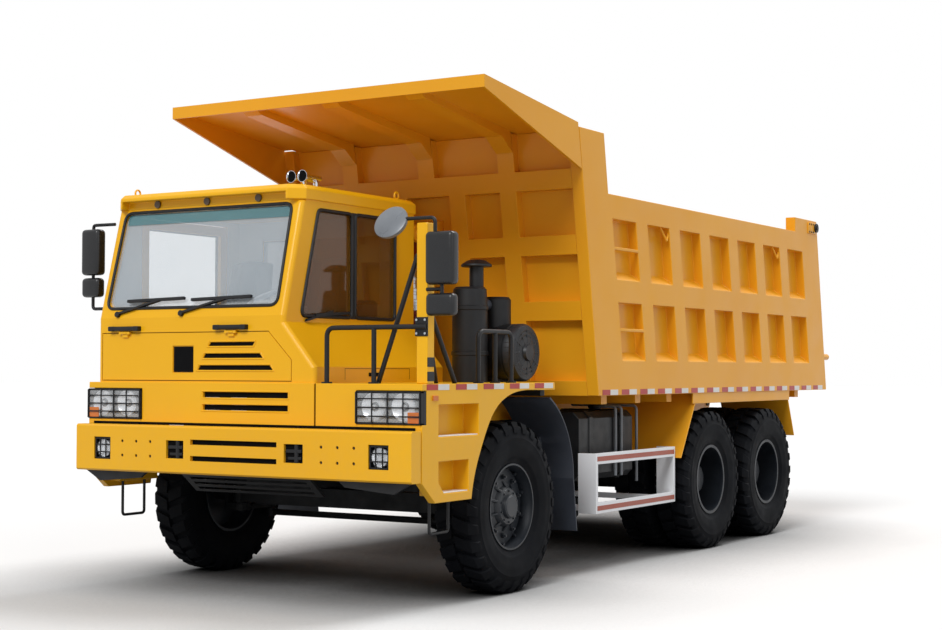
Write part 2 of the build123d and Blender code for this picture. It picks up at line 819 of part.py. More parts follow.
# Cab roof: lid with a visor over the windshield
with BuildPart() as cab_roof:
    with BuildSketch(Plane.XY.offset(cab_eaves_z)):
        Polygon(
            (cab_right_x - roof_overhang, cab_rear_y + roof_overhang),
            (cab_left_x + roof_overhang, cab_rear_y + roof_overhang),
            (cab_left_x + roof_overhang, roof_brow_y + roof_corner),
            (cab_left_x + roof_overhang - roof_corner, roof_brow_y),
            (cab_right_x - roof_overhang + roof_corner, roof_brow_y),
            (cab_right_x - roof_overhang, roof_brow_y + roof_corner),
            align=None,
        )
    extrude(amount=roof_height)
    chamfer(cab_roof.faces().sort_by(Axis.Z)[-1].edges(), length=34)
    with BuildSketch(Plane.XY.offset(cab_eaves_z)):
        with Locations((cab_centre_x, roof_brow_y)):
            Rectangle(cab_width - 2 * roof_corner, 2 * (cab_brow_y - roof_brow_y))
    extrude(amount=roof_height - visor_thickness, mode=Mode.SUBTRACT)

# Fixed glass: windshield, left window panes and rear window
pane_x = cab_left_x - cab_wall / 2
with BuildPart() as cab_glass:
    with BuildSketch(Plane.YZ.offset(cab_right_x + windshield_edge)):
        Polygon(
            (windshield_low_y + 20, windshield_bottom_z),
            (windshield_high_y + 20, windshield_top_z),
            (windshield_high_y + 20 + glass_thickness, windshield_top_z),
            (windshield_low_y + 20 + glass_thickness, windshield_bottom_z),
            align=None,
        )
    extrude(amount=cab_width - 2 * windshield_edge)
    with BuildSketch(Plane.XZ.offset(-cab_front_y - 500)) as windshield_pane:
        Polygon(*windshield_corners(pane_gap), align=None)
        fillet(windshield_pane.vertices(), radius=window_corner)
    extrude(amount=600, mode=Mode.INTERSECT)
    with BuildSketch(Plane.YZ.offset(pane_x)) as side_panes:
        Polygon(*front_pane_corners(pane_gap), align=None)
        Polygon(*rear_pane_corners(pane_gap), align=None)
        fillet(side_panes.vertices(), radius=pane_corner)
    extrude(amount=glass_thickness)
    with BuildSketch(Plane.XZ.offset(-cab_rear_y + cab_wall / 2)):
        with Locations((cab_centre_x, (rear_window_bottom_z + rear_window_top_z) / 2 - glass_gap)):
            Rectangle(
                rear_window_width - 2 * glass_gap, rear_window_top_z - rear_window_bottom_z - 2 * glass_gap
            )
    extrude(amount=glass_thickness)

# Door on the right side, window above its sill, and its glass
door_mid_y = (door_front_y + door_rear_y) / 2
with BuildPart() as door:
    with BuildSketch(Plane.YZ.offset(cab_right_x)):
        with Locations((door_mid_y, (door_bottom_z + door_top_z) / 2)):
            Rectangle(door_rear_y - door_front_y - 2 * door_gap, door_top_z - door_bottom_z - 2 * door_gap)
        with Locations((door_mid_y, (door_sill_z + door_top_z - door_frame) / 2)):
            Rectangle(
                door_rear_y - door_front_y - 2 * door_frame,
                door_top_z - door_frame - door_sill_z,
                mode=Mode.SUBTRACT,
            )
    extrude(amount=cab_wall)
    with Locations((cab_right_x - 20, door_rear_y - 130, door_sill_z - 90)):
        Box(40, 150, 34)
    for hinge_z in door_hinge_zs:
        with Locations((door_hinge_x, door_hinge_y, hinge_z)):
            Cylinder(barrel_radius, barrel_length)
        with Locations((door_hinge_x + hinge_offset / 2, door_hinge_y + 20, hinge_z)):
            Box(hinge_offset, 40, barrel_length)

with BuildPart() as door_glass:
    with BuildSketch(Plane.YZ.offset(cab_right_x + cab_wall / 2)):
        with Locations((door_mid_y, (door_sill_z + door_top_z - door_frame) / 2 - glass_gap)):
            Rectangle(
                door_rear_y - door_front_y - 2 * door_frame - 2 * glass_gap,
                door_top_z - door_frame - door_sill_z - 2 * glass_gap,
            )
    extrude(amount=glass_thickness)

# Front hatch, hung from its top edge, with cooling slots and a bare badge recess
with BuildPart() as front_hatch:
    with BuildSketch(Plane.XZ.offset(-cab_front_y - hatch_thickness)):
        Polygon(
            (hatch_left_x + hatch_gap, hatch_bottom_z + hatch_gap),
            (hatch_left_x + hatch_gap, hatch_top_z - hatch_gap),
            (hatch_corner_x - 3, hatch_top_z - hatch_gap),
            (hatch_right_x - hatch_gap, hatch_corner_z - 3),
            (hatch_right_x - hatch_gap, hatch_bottom_z + hatch_gap),
            align=None,
        )
    extrude(amount=hatch_thickness)
    with BuildSketch(Plane.XZ.offset(-cab_front_y - 10)):
        with Locations((badge_x, badge_z)):
            Rectangle(badge_size, badge_size)
    extrude(amount=20, mode=Mode.SUBTRACT)
    with BuildSketch(Plane.XZ.offset(-cab_front_y - 14)):
        Polygon((-395, 1965), (55, 1965), (75, 1995), (-375, 1995), align=None)
        Polygon((-450, 1870), (155, 1870), (125, 1905), (-430, 1905), align=None)
        Polygon((-505, 1775), (255, 1775), (225, 1812), (-485, 1812), align=None)
    extrude(amount=20, mode=Mode.SUBTRACT)
    for hinge_x in hatch_hinge_xs:
        with Locations(Location((hinge_x, hatch_hinge_y, hatch_hinge_z), (0, 90, 0))):
            Cylinder(barrel_radius, barrel_length)
        with Locations((hinge_x, hatch_hinge_y + hinge_offset / 2, hatch_hinge_z - 20)):
            Box(barrel_length, hinge_offset, 30)

# Seats, dashboard with steering wheel
seat_xs = (-180, -1080)
with BuildPart() as seats:
    for seat_x in seat_xs:
        with BuildSketch(Plane.YZ.offset(seat_x - 250)):
            Polygon(
                (-3560, 2060),
                (-3560, 2170),
                (-3100, 2150),
                (-2990, 2760),
                (-2890, 2760),
                (-2980, 2060),
                align=None,
            )
        extrude(amount=500)
        with Locations((seat_x, -3230, (cab_floor_z + cab_wall + 2060) / 2)):
            Box(360, 400, 2060 - cab_floor_z - cab_wall)

wheel_tilt = Location((seat_xs[0], -3800, 2330), (28, 0, 0))
with BuildPart() as dashboard:
    with BuildSketch(Plane.YZ.offset(cab_right_x + cab_wall + 5)):
        Polygon(
            (cab_front_y + cab_wall, 1900),
            (cab_front_y + cab_wall, 2200),
            (-4180, 2270),
            (-3980, 2250),
            (-3950, 2150),
            (-4080, 1900),
            align=None,
        )
    extrude(amount=cab_width - 2 * cab_wall - 10)
    with Locations(wheel_tilt):
        Box(400, 46, 22)
        with Locations((0, 0, -160)):
            Box(60, 60, 330)
    with BuildSketch(Plane(wheel_tilt).offset(-18)):
        RegularPolygon(233, round_sides)
        RegularPolygon(197, round_sides, mode=Mode.SUBTRACT)
    extrude(amount=36)

# Twin horns on the roof
horn_z = cab_eaves_z + roof_height
with BuildPart() as horns:
    for horn_x, horn_length in ((190, 300), (300, 240)):
        with BuildSketch(Plane.XZ.offset(4040)):
            with Locations((horn_x, horn_z + 70)):
                RegularPolygon(48, small_sides)
        extrude(amount=-30)
        with BuildSketch(Plane.XZ.offset(4010)):
            with Locations((horn_x, horn_z + 70)):
                RegularPolygon(32, small_sides)
        extrude(amount=-50)
        with BuildSketch(Plane.XZ.offset(3960)):
            with Locations((horn_x, horn_z + 70)):
                RegularPolygon(20, small_sides)
        extrude(amount=80 - horn_length)
        with Locations((horn_x, -3860, horn_z + 30)):
            Box(26, 40, 60)

# Wipers: two on the windshield, one on the left window
with BuildPart() as wipers:
    wiper_plane = Plane(
        origin=(0, windshield_low_y, windshield_bottom_z), x_dir=(1, 0, 0), z_dir=(0, -1, slope)
    )
    with BuildSketch(wiper_plane):
        for pivot_x in (-1370, -680):
            with Locations((pivot_x, -60)):
                RegularPolygon(24, small_sides)
            Polygon(
                (pivot_x - 8, -66),
                (pivot_x, -46),
                (pivot_x + 430, 62),
                (pivot_x + 434, 46),
                align=None,
            )
            Polygon(
                (pivot_x + 90, 40),
                (pivot_x + 90, 62),
                (pivot_x + 700, 78),
                (pivot_x + 700, 56),
                align=None,
            )
    extrude(amount=26)
    with BuildSketch(Plane.YZ.offset(cab_left_x)):
        Polygon((-4080, 2156), (-4066, 2176), (-3730, 2252), (-3730, 2236), align=None)
        Polygon((-3960, 2196), (-3960, 2222), (-3500, 2250), (-3500, 2228), align=None)
    extrude(amount=24)

# Mirrors: left heads beside the yellow post, right heads on two cab arms
left_head_x = mirror_out_x - mirror_head_width / 2
right_head_x = mirror_small_width / 2 - mirror_out_x
left_head_y = post_y - 48
right_head_y = -4185
with BuildPart() as mirrors:
    with BuildSketch(Plane.XY.offset(left_mirror_z)) as left_head:
        with Locations((left_head_x, left_head_y)):
            Rectangle(mirror_head_width, mirror_head_depth)
        chamfer(left_head.vertices(), length=mirror_corner)
    extrude(amount=mirror_head_height)
    with BuildSketch(Plane.XY.offset(right_mirror_z)) as right_head:
        with Locations((right_head_x, right_head_y)):
            Rectangle(mirror_small_width, mirror_head_depth)
        chamfer(right_head.vertices(), length=mirror_corner)
    extrude(amount=mirror_head_height)
    with BuildSketch(Plane.XY.offset(left_mirror_z - mirror_low_height - 62)) as left_low_head:
        with Locations((left_head_x, left_head_y)):
            Rectangle(mirror_head_width, mirror_head_depth - 14)
        chamfer(left_low_head.vertices(), length=mirror_corner)
    extrude(amount=mirror_low_height)
    with BuildSketch(Plane.XY.offset(right_mirror_z - mirror_low_height - 22)) as right_low_head:
        with Locations((right_head_x, right_head_y)):
            Rectangle(mirror_small_width, mirror_head_depth - 14)
        chamfer(right_low_head.vertices(), length=mirror_corner)
    extrude(amount=mirror_low_height)
    with Locations((left_head_x, left_head_y, left_mirror_z - 31)):
        Box(30, 30, 62)
    with Locations(((post_x + post_size / 2 + left_head_x) / 2, left_head_y, left_mirror_z - 31)):
        Box(left_head_x - post_x - post_size / 2, 30, 30)
    with Locations((left_head_x - 60, left_head_y, left_mirror_z + mirror_head_height + 60)):
        Box(30, 30, 120)
    round_arm_z = left_mirror_z + mirror_head_height + 105
    with Locations(((left_head_x - 60 + round_mirror_x) / 2, left_head_y, round_arm_z)):
        Box(left_head_x - 60 - round_mirror_x, 30, 30)
    round_mirror = Location((round_mirror_x, left_head_y, round_arm_z - 30), (60, 0, 0))
    with BuildSketch(Plane(round_mirror).offset(-30)):
        RegularPolygon(round_mirror_radius, 2 * small_sides)
    extrude(amount=60)
    with Locations((right_head_x, right_head_y, right_mirror_z - 11)):
        Box(30, 30, 22)
    with Locations((right_head_x, right_head_y, right_mirror_z + mirror_head_height + 20)):
        Box(30, 30, 40)
    right_arm_z = right_mirror_z + mirror_head_height + 35
    with Locations(((right_head_x + cab_right_x + 20) / 2, right_head_y, right_arm_z)):
        Box(cab_right_x + 20 - right_head_x, 30, 30)
    with Locations((cab_right_x + 10, -4172, right_arm_z)):
        Box(20, 56, 30)
    with Locations((right_head_x, right_head_y, right_mirror_z - mirror_low_height - 75)):
        Box(30, 30, 110)
    with Locations(((right_head_x + cab_right_x) / 2, right_head_y, right_mirror_z - mirror_low_height - 120)):
        Box(cab_right_x - right_head_x, 30, 30)

# Black tube rails on the left deck, grab handles over the hatch and hanging steps
deck_rail_z = deck_top_z + rail_top_height
rail_y = post_y - post_size / 2 - tube_radius
with BuildPart() as deck_rails:
    with BuildLine() as front_rail:
        FilletPolyline(
            (rail_inner_post_x, rail_y, deck_top_z),
            (rail_inner_post_x, rail_y, deck_rail_z),
            (post_x + post_size / 2, rail_y, deck_rail_z),
            radius=80,
        )
    with BuildSketch(Plane.XY.offset(deck_top_z)):
        with Locations((rail_inner_post_x, rail_y)):
            RegularPolygon(tube_radius, 8)
    sweep(path=front_rail.wires()[0])
    with BuildSketch(Plane.XY.offset(deck_top_z)):
        with Locations((rail_mid_post_x, rail_y)):
            RegularPolygon(tube_radius, 8)
    extrude(amount=rail_top_height)
    with BuildLine() as brace:
        Line(
            (rail_mid_post_x, rail_y + 60, deck_top_z + 7),
            (post_x - post_size / 2 - tube_radius, post_y, post_top_z - 230),
        )
    with BuildSketch(Plane(brace.line @ 0, z_dir=brace.line % 0)):
        RegularPolygon(tube_radius, 8)
    sweep(path=brace.wires()[0])
    with BuildLine() as hoop:
        FilletPolyline(
            (hoop_x, hoop_front_y, deck_top_z),
            (hoop_x, hoop_front_y, deck_top_z + hoop_height),
            (hoop_x, hoop_rear_y, deck_top_z + hoop_height),
            (hoop_x, hoop_rear_y, deck_top_z),
            radius=80,
        )
    with BuildSketch(Plane.XY.offset(deck_top_z)):
        with Locations((hoop_x, hoop_front_y)):
            RegularPolygon(tube_radius, 8)
    sweep(path=hoop.wires()[0])
    with BuildSketch(Plane.XY.offset(deck_top_z)):
        with Locations((hoop_x, (hoop_front_y + hoop_rear_y) / 2)):
            RegularPolygon(tube_radius, 8)
    extrude(amount=hoop_height)
    for step_side in (-1, 1):
        with BuildLine() as hanger:
            Polyline(
                (step_side * hang_step_x, hang_step_front_y, lower_step_bottom_z - step_wall),
                (step_side * hang_step_x, hang_step_front_y, hang_step_bottom_z),
                (step_side * hang_step_x, hang_step_rear_y, hang_step_bottom_z),
                (step_side * hang_step_x, hang_step_rear_y, lower_step_bottom_z - step_wall),
            )
        with BuildSketch(Plane.XY.offset(lower_step_bottom_z - step_wall)):
            with Locations((step_side * hang_step_x, hang_step_front_y)):
                Rectangle(24, 24)
        sweep(path=hanger.wires()[0], transition=Transition.RIGHT)
    with Locations((-1278, cab_front_y - 24, 2112), (-155, cab_front_y - 24, 2112)):
        Box(330, 48, 26)

# Lamps: head lamps, fog lamps, rear lamps
with BuildPart() as lamps:
    lamp_y = fender_front_y + 25
    lamp_z = headlamp_z - lamp_gap
    with Locations((headlamp_x, lamp_y, lamp_z), (-headlamp_x, lamp_y, lamp_z)):
        Box(headlamp_width - 2 * lamp_gap, headlamp_depth, headlamp_height - 2 * lamp_gap)
    fog_y = bumper_front_y + bumper_depth / 2 + 10
    fog_z = fog_lamp_z - lamp_gap
    with Locations((fog_lamp_x, fog_y, fog_z), (-fog_lamp_x, fog_y, fog_z)):
        Box(fog_lamp_size - 2 * lamp_gap, bumper_depth - 16, fog_lamp_size - 2 * lamp_gap)
    with Locations((760, rail_rear_y + 25, cross_z - 60), (-760, rail_rear_y + 25, cross_z - 60)):
        Box(420, 40, 100)

# Engine and gearbox: one plain block between the rails
with BuildPart() as engine:
    with BuildSketch(Plane.YZ.offset(-engine_width / 2)):
        Polygon(
            (engine_front_y, engine_bottom_z),
            (engine_front_y, engine_top_z),
            (engine_rear_y, engine_top_z),
            (engine_rear_y, gearbox_bottom_z),
            (gearbox_front_y, gearbox_bottom_z),
            (gearbox_front_y, engine_bottom_z),
            align=None,
        )
    extrude(amount=engine_width)

# Air cleaner on the left deck: lying drum, standing can with a rain cap, small drum behind
with BuildPart() as air_cleaner:
    with BuildSketch(Plane.YZ.offset(cleaner_drum_x - cleaner_drum_length)):
        with Locations((cleaner_drum_y, cleaner_drum_z)):
            RegularPolygon(cleaner_drum_radius, 2 * small_sides)
    extrude(amount=cleaner_drum_length)
    with BuildSketch(Plane.YZ.offset(cleaner_drum_x)):
        with Locations((cleaner_drum_y, cleaner_drum_z)):
            RegularPolygon(70, round_sides)
    extrude(amount=25)
    with BuildSketch(Plane.XY.offset(deck_top_z)):
        with Locations((cleaner_can_x, cleaner_can_y)):
            RegularPolygon(cleaner_can_radius, round_sides)
    extrude(amount=cleaner_can_top_z - deck_top_z)
    with BuildSketch(Plane.XY.offset(cleaner_can_top_z)):
        with Locations((cleaner_can_x + 40, cleaner_can_y + 40)):
            RegularPolygon(60, small_sides)
    extrude(amount=cleaner_cap_z - cleaner_can_top_z)
    with BuildSketch(Plane.XY.offset(cleaner_cap_z)):
        with Locations((cleaner_can_x + 40, cleaner_can_y + 40)):
            RegularPolygon(130, round_sides)
    extrude(amount=60)
    chamfer(air_cleaner.faces().sort_by(Axis.Z)[-1].edges(), length=45)
    with BuildSketch(Plane.XY.offset(deck_top_z)):
        with Locations((cleaner_can_x + 20, cleaner_drum_y)):
            RegularPolygon(130, round_sides)
    extrude(amount=2400 - deck_top_z)

# Fuel tank with two straps and its carrier to the frame
with BuildPart() as fuel_tank:
    with BuildSketch(Plane.XZ.offset(-tank_rear_y)) as tank_outline:
        with Locations(((tank_inner_x + tank_outer_x) / 2, (tank_bottom_z + tank_top_z) / 2)):
            Rectangle(tank_outer_x - tank_inner_x, tank_top_z - tank_bottom_z)
        chamfer(tank_outline.vertices(), length=tank_corner)
    extrude(amount=tank_rear_y - tank_front_y)
    for strap_y in (tank_front_y + 220, tank_rear_y - 220):
        with BuildSketch(Plane.XZ.offset(-strap_y - 35)) as strap_outline:
            with Locations(((tank_inner_x + tank_outer_x) / 2, (tank_bottom_z + tank_top_z) / 2)):
                Rectangle(tank_outer_x - tank_inner_x + 20, tank_top_z - tank_bottom_z + 20)
            chamfer(strap_outline.vertices(), length=tank_corner)
        extrude(amount=70)
        with Locations(((rail_outer_x + tank_inner_x) / 2, strap_y, cross_z)):
            Box(tank_inner_x - rail_outer_x, 70, 200)

# Side guards: a frame along each side with an end plate facing forward
guard_z = (guard_bottom_z + guard_top_z) / 2
guard_height = guard_top_z - guard_bottom_z
with BuildPart() as side_guards:
    with BuildSketch(Plane.YZ.offset(guard_x - guard_skin)):
        with Locations(((guard_front_y + guard_rear_y) / 2, guard_z)):
            Rectangle(guard_rear_y - guard_front_y, guard_height)
            Rectangle(
                guard_rear_y - guard_front_y - 2 * guard_skin, guard_height - 2 * guard_rail, mode=Mode.SUBTRACT
            )
    extrude(amount=guard_skin)
    with Locations((guard_x - guard_end_width / 2, guard_front_y + guard_skin / 2, guard_z)):
        Box(guard_end_width, guard_skin, guard_height)
    with Locations((guard_x - guard_end_width / 2, guard_rear_y - guard_skin / 2, guard_z)):
        Box(guard_end_width, guard_skin, guard_height)
    arm_x = (rail_outer_x + guard_x - guard_skin) / 2
    for arm_y in (guard_front_y + 60, guard_rear_y - 150):
        with Locations((arm_x, arm_y, guard_bottom_z + 45)):
            Box(guard_x - guard_skin - rail_outer_x, 50, 50)
        with Locations((rail_outer_x + 20, arm_y, 795)):
            Box(40, 50, 530)
    mirror(about=Plane.YZ)

# Mudflaps behind the front wheels: bent sheets with a carrier to the frame
with BuildPart() as mudflaps:
    with BuildSketch(Plane.YZ.offset(flap_inner_x)):
        with BuildLine():
            inner = ThreePointArc((-2400, 1540), (-2070, 1217), (-1984, 857))
            inner_low = Line(inner @ 1, (-1924, 407))
            outer = ThreePointArc(
                (-2400 + flap_sheet, 1540 + flap_sheet), (-2070 + flap_sheet, 1217), (-1984 + flap_sheet, 857)
            )
            outer_low = Line(outer @ 1, (-1924 + flap_sheet, 407))
            Line(inner @ 0, outer @ 0)
            Line(inner_low @ 1, outer_low @ 1)
        make_face()
    extrude(amount=flap_outer_x - flap_inner_x)
    with Locations(((rail_outer_x + flap_inner_x + 200) / 2, -1950, 1180)):
        Box(flap_inner_x + 200 - rail_outer_x, 60, 60)
    with Locations((flap_inner_x + 200, -2020, 1180)):
        Box(60, 120, 60)
    mirror(about=Plane.YZ)

# Front axle beam with king pin bosses and pins
with BuildPart() as front_axle:
    with Locations((0, front_axle_y, beam_z)):
        Box(2 * kingpin_x, beam_width, beam_height)
    with BuildSketch(Plane.XY.offset(kingpin_boss_bottom_z)):
        with Locations((kingpin_x, front_axle_y), (-kingpin_x, front_axle_y)):
            RegularPolygon(kingpin_boss_radius, round_sides)
    extrude(amount=kingpin_boss_top_z - kingpin_boss_bottom_z)
    with Locations((0, front_axle_y, beam_z - beam_height / 2)):
        Box(2 * kingpin_x - 400, beam_width - 60, 20)
    pin_low_z = kingpin_boss_bottom_z - knuckle_ear_gap - knuckle_ear_height - 12
    pin_high_z = kingpin_boss_top_z + knuckle_ear_gap + knuckle_ear_height + 12
    with BuildSketch(Plane.XY.offset(pin_low_z)):
        with Locations((kingpin_x, front_axle_y), (-kingpin_x, front_axle_y)):
            Circle(kingpin_radius)
    extrude(amount=pin_high_z - pin_low_z)

# Steering knuckles: two ears on the king pin, web, spindle and steering arm
knuckle_low_z = kingpin_boss_bottom_z - knuckle_ear_gap - knuckle_ear_height
knuckle_high_z = kingpin_boss_top_z + knuckle_ear_gap
tie_rod_y = front_axle_y + steer_arm_length
with BuildPart() as knuckle_left:
    with BuildSketch(Plane.XY.offset(knuckle_low_z)):
        with Locations((kingpin_x, front_axle_y)):
            RegularPolygon(kingpin_boss_radius, round_sides)
        with Locations(((kingpin_x + knuckle_web_x + knuckle_web) / 2, front_axle_y)):
            Rectangle(knuckle_web_x + knuckle_web - kingpin_x, 2 * kingpin_boss_radius)
        with Locations((kingpin_x, front_axle_y + steer_arm_length / 2)):
            Rectangle(60, steer_arm_length)
        with Locations((kingpin_x, tie_rod_y)):
            RegularPolygon(tie_rod_eye_radius, small_sides)
    extrude(amount=steer_arm_height)
    with BuildSketch(Plane.XY.offset(knuckle_low_z)):
        with Locations((kingpin_x, front_axle_y)):
            RegularPolygon(kingpin_boss_radius, round_sides)
        with Locations(((kingpin_x + knuckle_web_x + knuckle_web) / 2, front_axle_y)):
            Rectangle(knuckle_web_x + knuckle_web - kingpin_x, 2 * kingpin_boss_radius)
    extrude(amount=knuckle_ear_height)
    with BuildSketch(Plane.XY.offset(knuckle_high_z)):
        with Locations((kingpin_x, front_axle_y)):
            RegularPolygon(kingpin_boss_radius, round_sides)
        with Locations(((kingpin_x + knuckle_web_x + knuckle_web) / 2, front_axle_y)):
            Rectangle(knuckle_web_x + knuckle_web - kingpin_x, 2 * kingpin_boss_radius)
    extrude(amount=knuckle_ear_height)
    with Locations((knuckle_web_x + knuckle_web / 2, front_axle_y, axle_z)):
        Box(knuckle_web, 2 * kingpin_boss_radius, knuckle_high_z - knuckle_low_z)
    with BuildSketch(Plane.YZ.offset(knuckle_web_x)):
        with Locations(wheel_axis_front):
            Circle(spindle_radius)
    extrude(amount=front_rim_out_x - 2 * hub_cap_length - 30 - knuckle_web_x)
    with BuildSketch(Plane.XY.offset(knuckle_low_z - 10)):
        with Locations((kingpin_x, front_axle_y)):
            Circle(kingpin_radius + pin_clearance)
        with Locations((kingpin_x, tie_rod_y)):
            Circle(20 + pin_clearance)
    extrude(amount=400, mode=Mode.SUBTRACT)

with BuildPart() as knuckle_right:
    mirror(knuckle_left.part, about=Plane.YZ)

# Tie rod between the steering arms, with a pin up into each arm
with BuildPart() as tie_rod:
    with BuildSketch(Plane.YZ.offset(-kingpin_x)):
        with Locations((tie_rod_y, knuckle_low_z - 48)):
            RegularPolygon(tie_rod_radius, 12)
    extrude(amount=2 * kingpin_x)
    with BuildSketch(Plane.XY.offset(knuckle_low_z - 48 - tie_rod_eye_radius + 10)):
        with Locations((kingpin_x, tie_rod_y), (-kingpin_x, tie_rod_y)):
            RegularPolygon(tie_rod_eye_radius, small_sides)
    extrude(amount=2 * tie_rod_eye_radius - 18)
    with BuildSketch(Plane.XY.offset(knuckle_low_z - 48)):
        with Locations((kingpin_x, tie_rod_y), (-kingpin_x, tie_rod_y)):
            Circle(20)
    extrude(amount=48 + steer_arm_height + 10)

# Rear axles: tube, round differential housing and the ends inside the hubs
axle_end_x = twin_hub_x - hub_cap_length - 12
with BuildPart() as diff_housing:
    with BuildSketch(Plane.XZ.offset(-diff_half - diff_dome)):
        RegularPolygon(diff_radius, round_sides)
    extrude(amount=2 * (diff_half + diff_dome))
    for housing_end in (0, -1):
        chamfer(diff_housing.faces().sort_by(Axis.Y)[housing_end].edges(), length=diff_dome - 5)

with BuildPart() as rear_axles:
    for axle_y in rear_axle_ys:
        with BuildSketch(Plane.YZ.offset(-twin_rim_in_x + 20)):
            with Locations((axle_y, axle_z)):
                RegularPolygon(axle_tube_radius, round_sides, major_radius=False, rotation=flat_up)
        extrude(amount=2 * twin_rim_in_x - 40)
        with BuildSketch(Plane.YZ.offset(-axle_end_x)):
            with Locations((axle_y, axle_z)):
                Circle(axle_end_radius)
        extrude(amount=2 * axle_end_x)
        add(diff_housing.part.moved(Location((0, axle_y, axle_z))))
        with Locations((0, axle_y - diff_radius, prop_z)):
            Box(150, 120, 150)
    with Locations((0, rear_axle_1_y + diff_radius - 20, prop_z)):
        Box(130, 60, 130)

# Leaf springs: front packs on the beam, rear packs across both rear axles
bogie_y = (rear_axle_1_y + rear_axle_2_y) / 2
with BuildPart() as leaf_springs:
    with BuildSketch(Plane.YZ.offset(front_spring_x - spring_width / 2)):
        with BuildLine():
            low = ThreePointArc(
                (front_axle_y - front_spring_span / 2, front_spring_end_z),
                (front_axle_y, front_spring_axle_z),
                (front_axle_y + front_spring_span / 2, front_spring_end_z),
            )
            high = ThreePointArc(
                (front_axle_y - front_spring_span / 2, front_spring_end_z + 70),
                (front_axle_y, front_spring_axle_z + spring_thickness),
                (front_axle_y + front_spring_span / 2, front_spring_end_z + 70),
            )
            Line(low @ 0, high @ 0)
            Line(low @ 1, high @ 1)
        make_face()
        with Locations((front_axle_y, (beam_z + beam_height / 2 + front_spring_axle_z + 10) / 2)):
            Rectangle(150, front_spring_axle_z + 10 - beam_z - beam_height / 2)
    extrude(amount=spring_width)
    with BuildSketch(Plane.YZ.offset(rear_spring_x - spring_width / 2)):
        with BuildLine():
            low = ThreePointArc(
                (rear_axle_1_y, rear_spring_axle_z),
                (bogie_y, rear_spring_centre_z),
                (rear_axle_2_y, rear_spring_axle_z),
            )
            high = ThreePointArc(
                (rear_axle_1_y, rear_spring_axle_z + 60),
                (bogie_y, rear_spring_centre_z + spring_thickness + 60),
                (rear_axle_2_y, rear_spring_axle_z + 60),
            )
            Line(low @ 0, high @ 0)
            Line(low @ 1, high @ 1)
        make_face()
        for axle_y in rear_axle_ys:
            with Locations((axle_y, (axle_z + axle_tube_radius + rear_spring_axle_z + 30) / 2)):
                Rectangle(140, rear_spring_axle_z + 30 - axle_z - axle_tube_radius)
    extrude(amount=spring_width)
    with Locations(((rail_outer_x + rear_spring_x) / 2, bogie_y, rear_spring_centre_z + 60)):
        Box(rear_spring_x - rail_outer_x, 260, 100)
    mirror(about=Plane.YZ)

# Propeller shafts: gearbox to the first rear axle, then on to the second
with BuildPart() as prop_shafts:
    with BuildLine() as shaft_1:
        Line((0, engine_rear_y, prop_z), (0, rear_axle_1_y - diff_radius - 60, prop_z))
    with BuildSketch(Plane(shaft_1.line @ 0, z_dir=shaft_1.line % 0)):
        RegularPolygon(prop_radius, small_sides)
    sweep(path=shaft_1.wires()[0])
    with BuildLine() as shaft_2:
        Line((0, rear_axle_1_y + diff_radius + 10, prop_z), (0, rear_axle_2_y - diff_radius - 60, prop_z))
    with BuildSketch(Plane(shaft_2.line @ 0, z_dir=shaft_2.line % 0)):
        RegularPolygon(prop_radius, small_sides)
    sweep(path=shaft_2.wires()[0])

# Lines of the leaning dump body seen from the side
front_shift = front_rib_depth + wall_plate
floor_rear_y = body_rear_y - gate_thickness - 40
floor_top_z = body_bottom_z + floor_thickness


def front_line(z):
    return body_front_y - body_lean * (z - body_bottom_z)


def rear_line(z):
    return body_rear_y - body_lean * (z - body_bottom_z)


# Floor with sills on the frame and cross ribs below
with BuildPart() as bed_floor:
    with BuildSketch(Plane.YZ.offset(-body_inner_x)):
        Polygon(
            (front_line(body_bottom_z) + front_shift, body_bottom_z),
            (front_line(floor_top_z) + front_shift, floor_top_z),
            (floor_rear_y, floor_top_z),
            (floor_rear_y, body_bottom_z),
            align=None,
        )
    extrude(amount=2 * body_inner_x)
    for rib in range(cross_rib_count):
        with Locations((0, sill_front_y + 230 + rib * cross_rib_pitch, body_bottom_z - cross_rib_height / 2)):
            Box(2 * body_inner_x - 20, cross_rib_width, cross_rib_height)
    with BuildSketch(Plane.YZ.offset(sill_inner_x)):
        with Locations(((sill_front_y + bed_hinge_y) / 2, (sill_bottom_z + body_bottom_z) / 2)):
            Rectangle(bed_hinge_y - sill_front_y, body_bottom_z - sill_bottom_z)
        with Locations((bed_hinge_y, bed_hinge_z)):
            RegularPolygon(bed_eye_radius, round_sides)
        with Locations((bed_hinge_y, (bed_hinge_z + body_bottom_z) / 2)):
            Rectangle(2 * bed_eye_radius, body_bottom_z - bed_hinge_z)
        with Locations((bed_hinge_y - bed_eye_radius / 2, sill_bottom_z)):
            Rectangle(bed_eye_radius, 2 * (bed_hinge_z - bed_eye_radius - sill_bottom_z), mode=Mode.SUBTRACT)
        with Locations((bed_hinge_y, bed_hinge_z)):
            Circle(bed_pin_radius + pin_clearance, mode=Mode.SUBTRACT)
    sill = extrude(amount=sill_outer_x - sill_inner_x)
    mirror(sill, about=Plane.YZ)

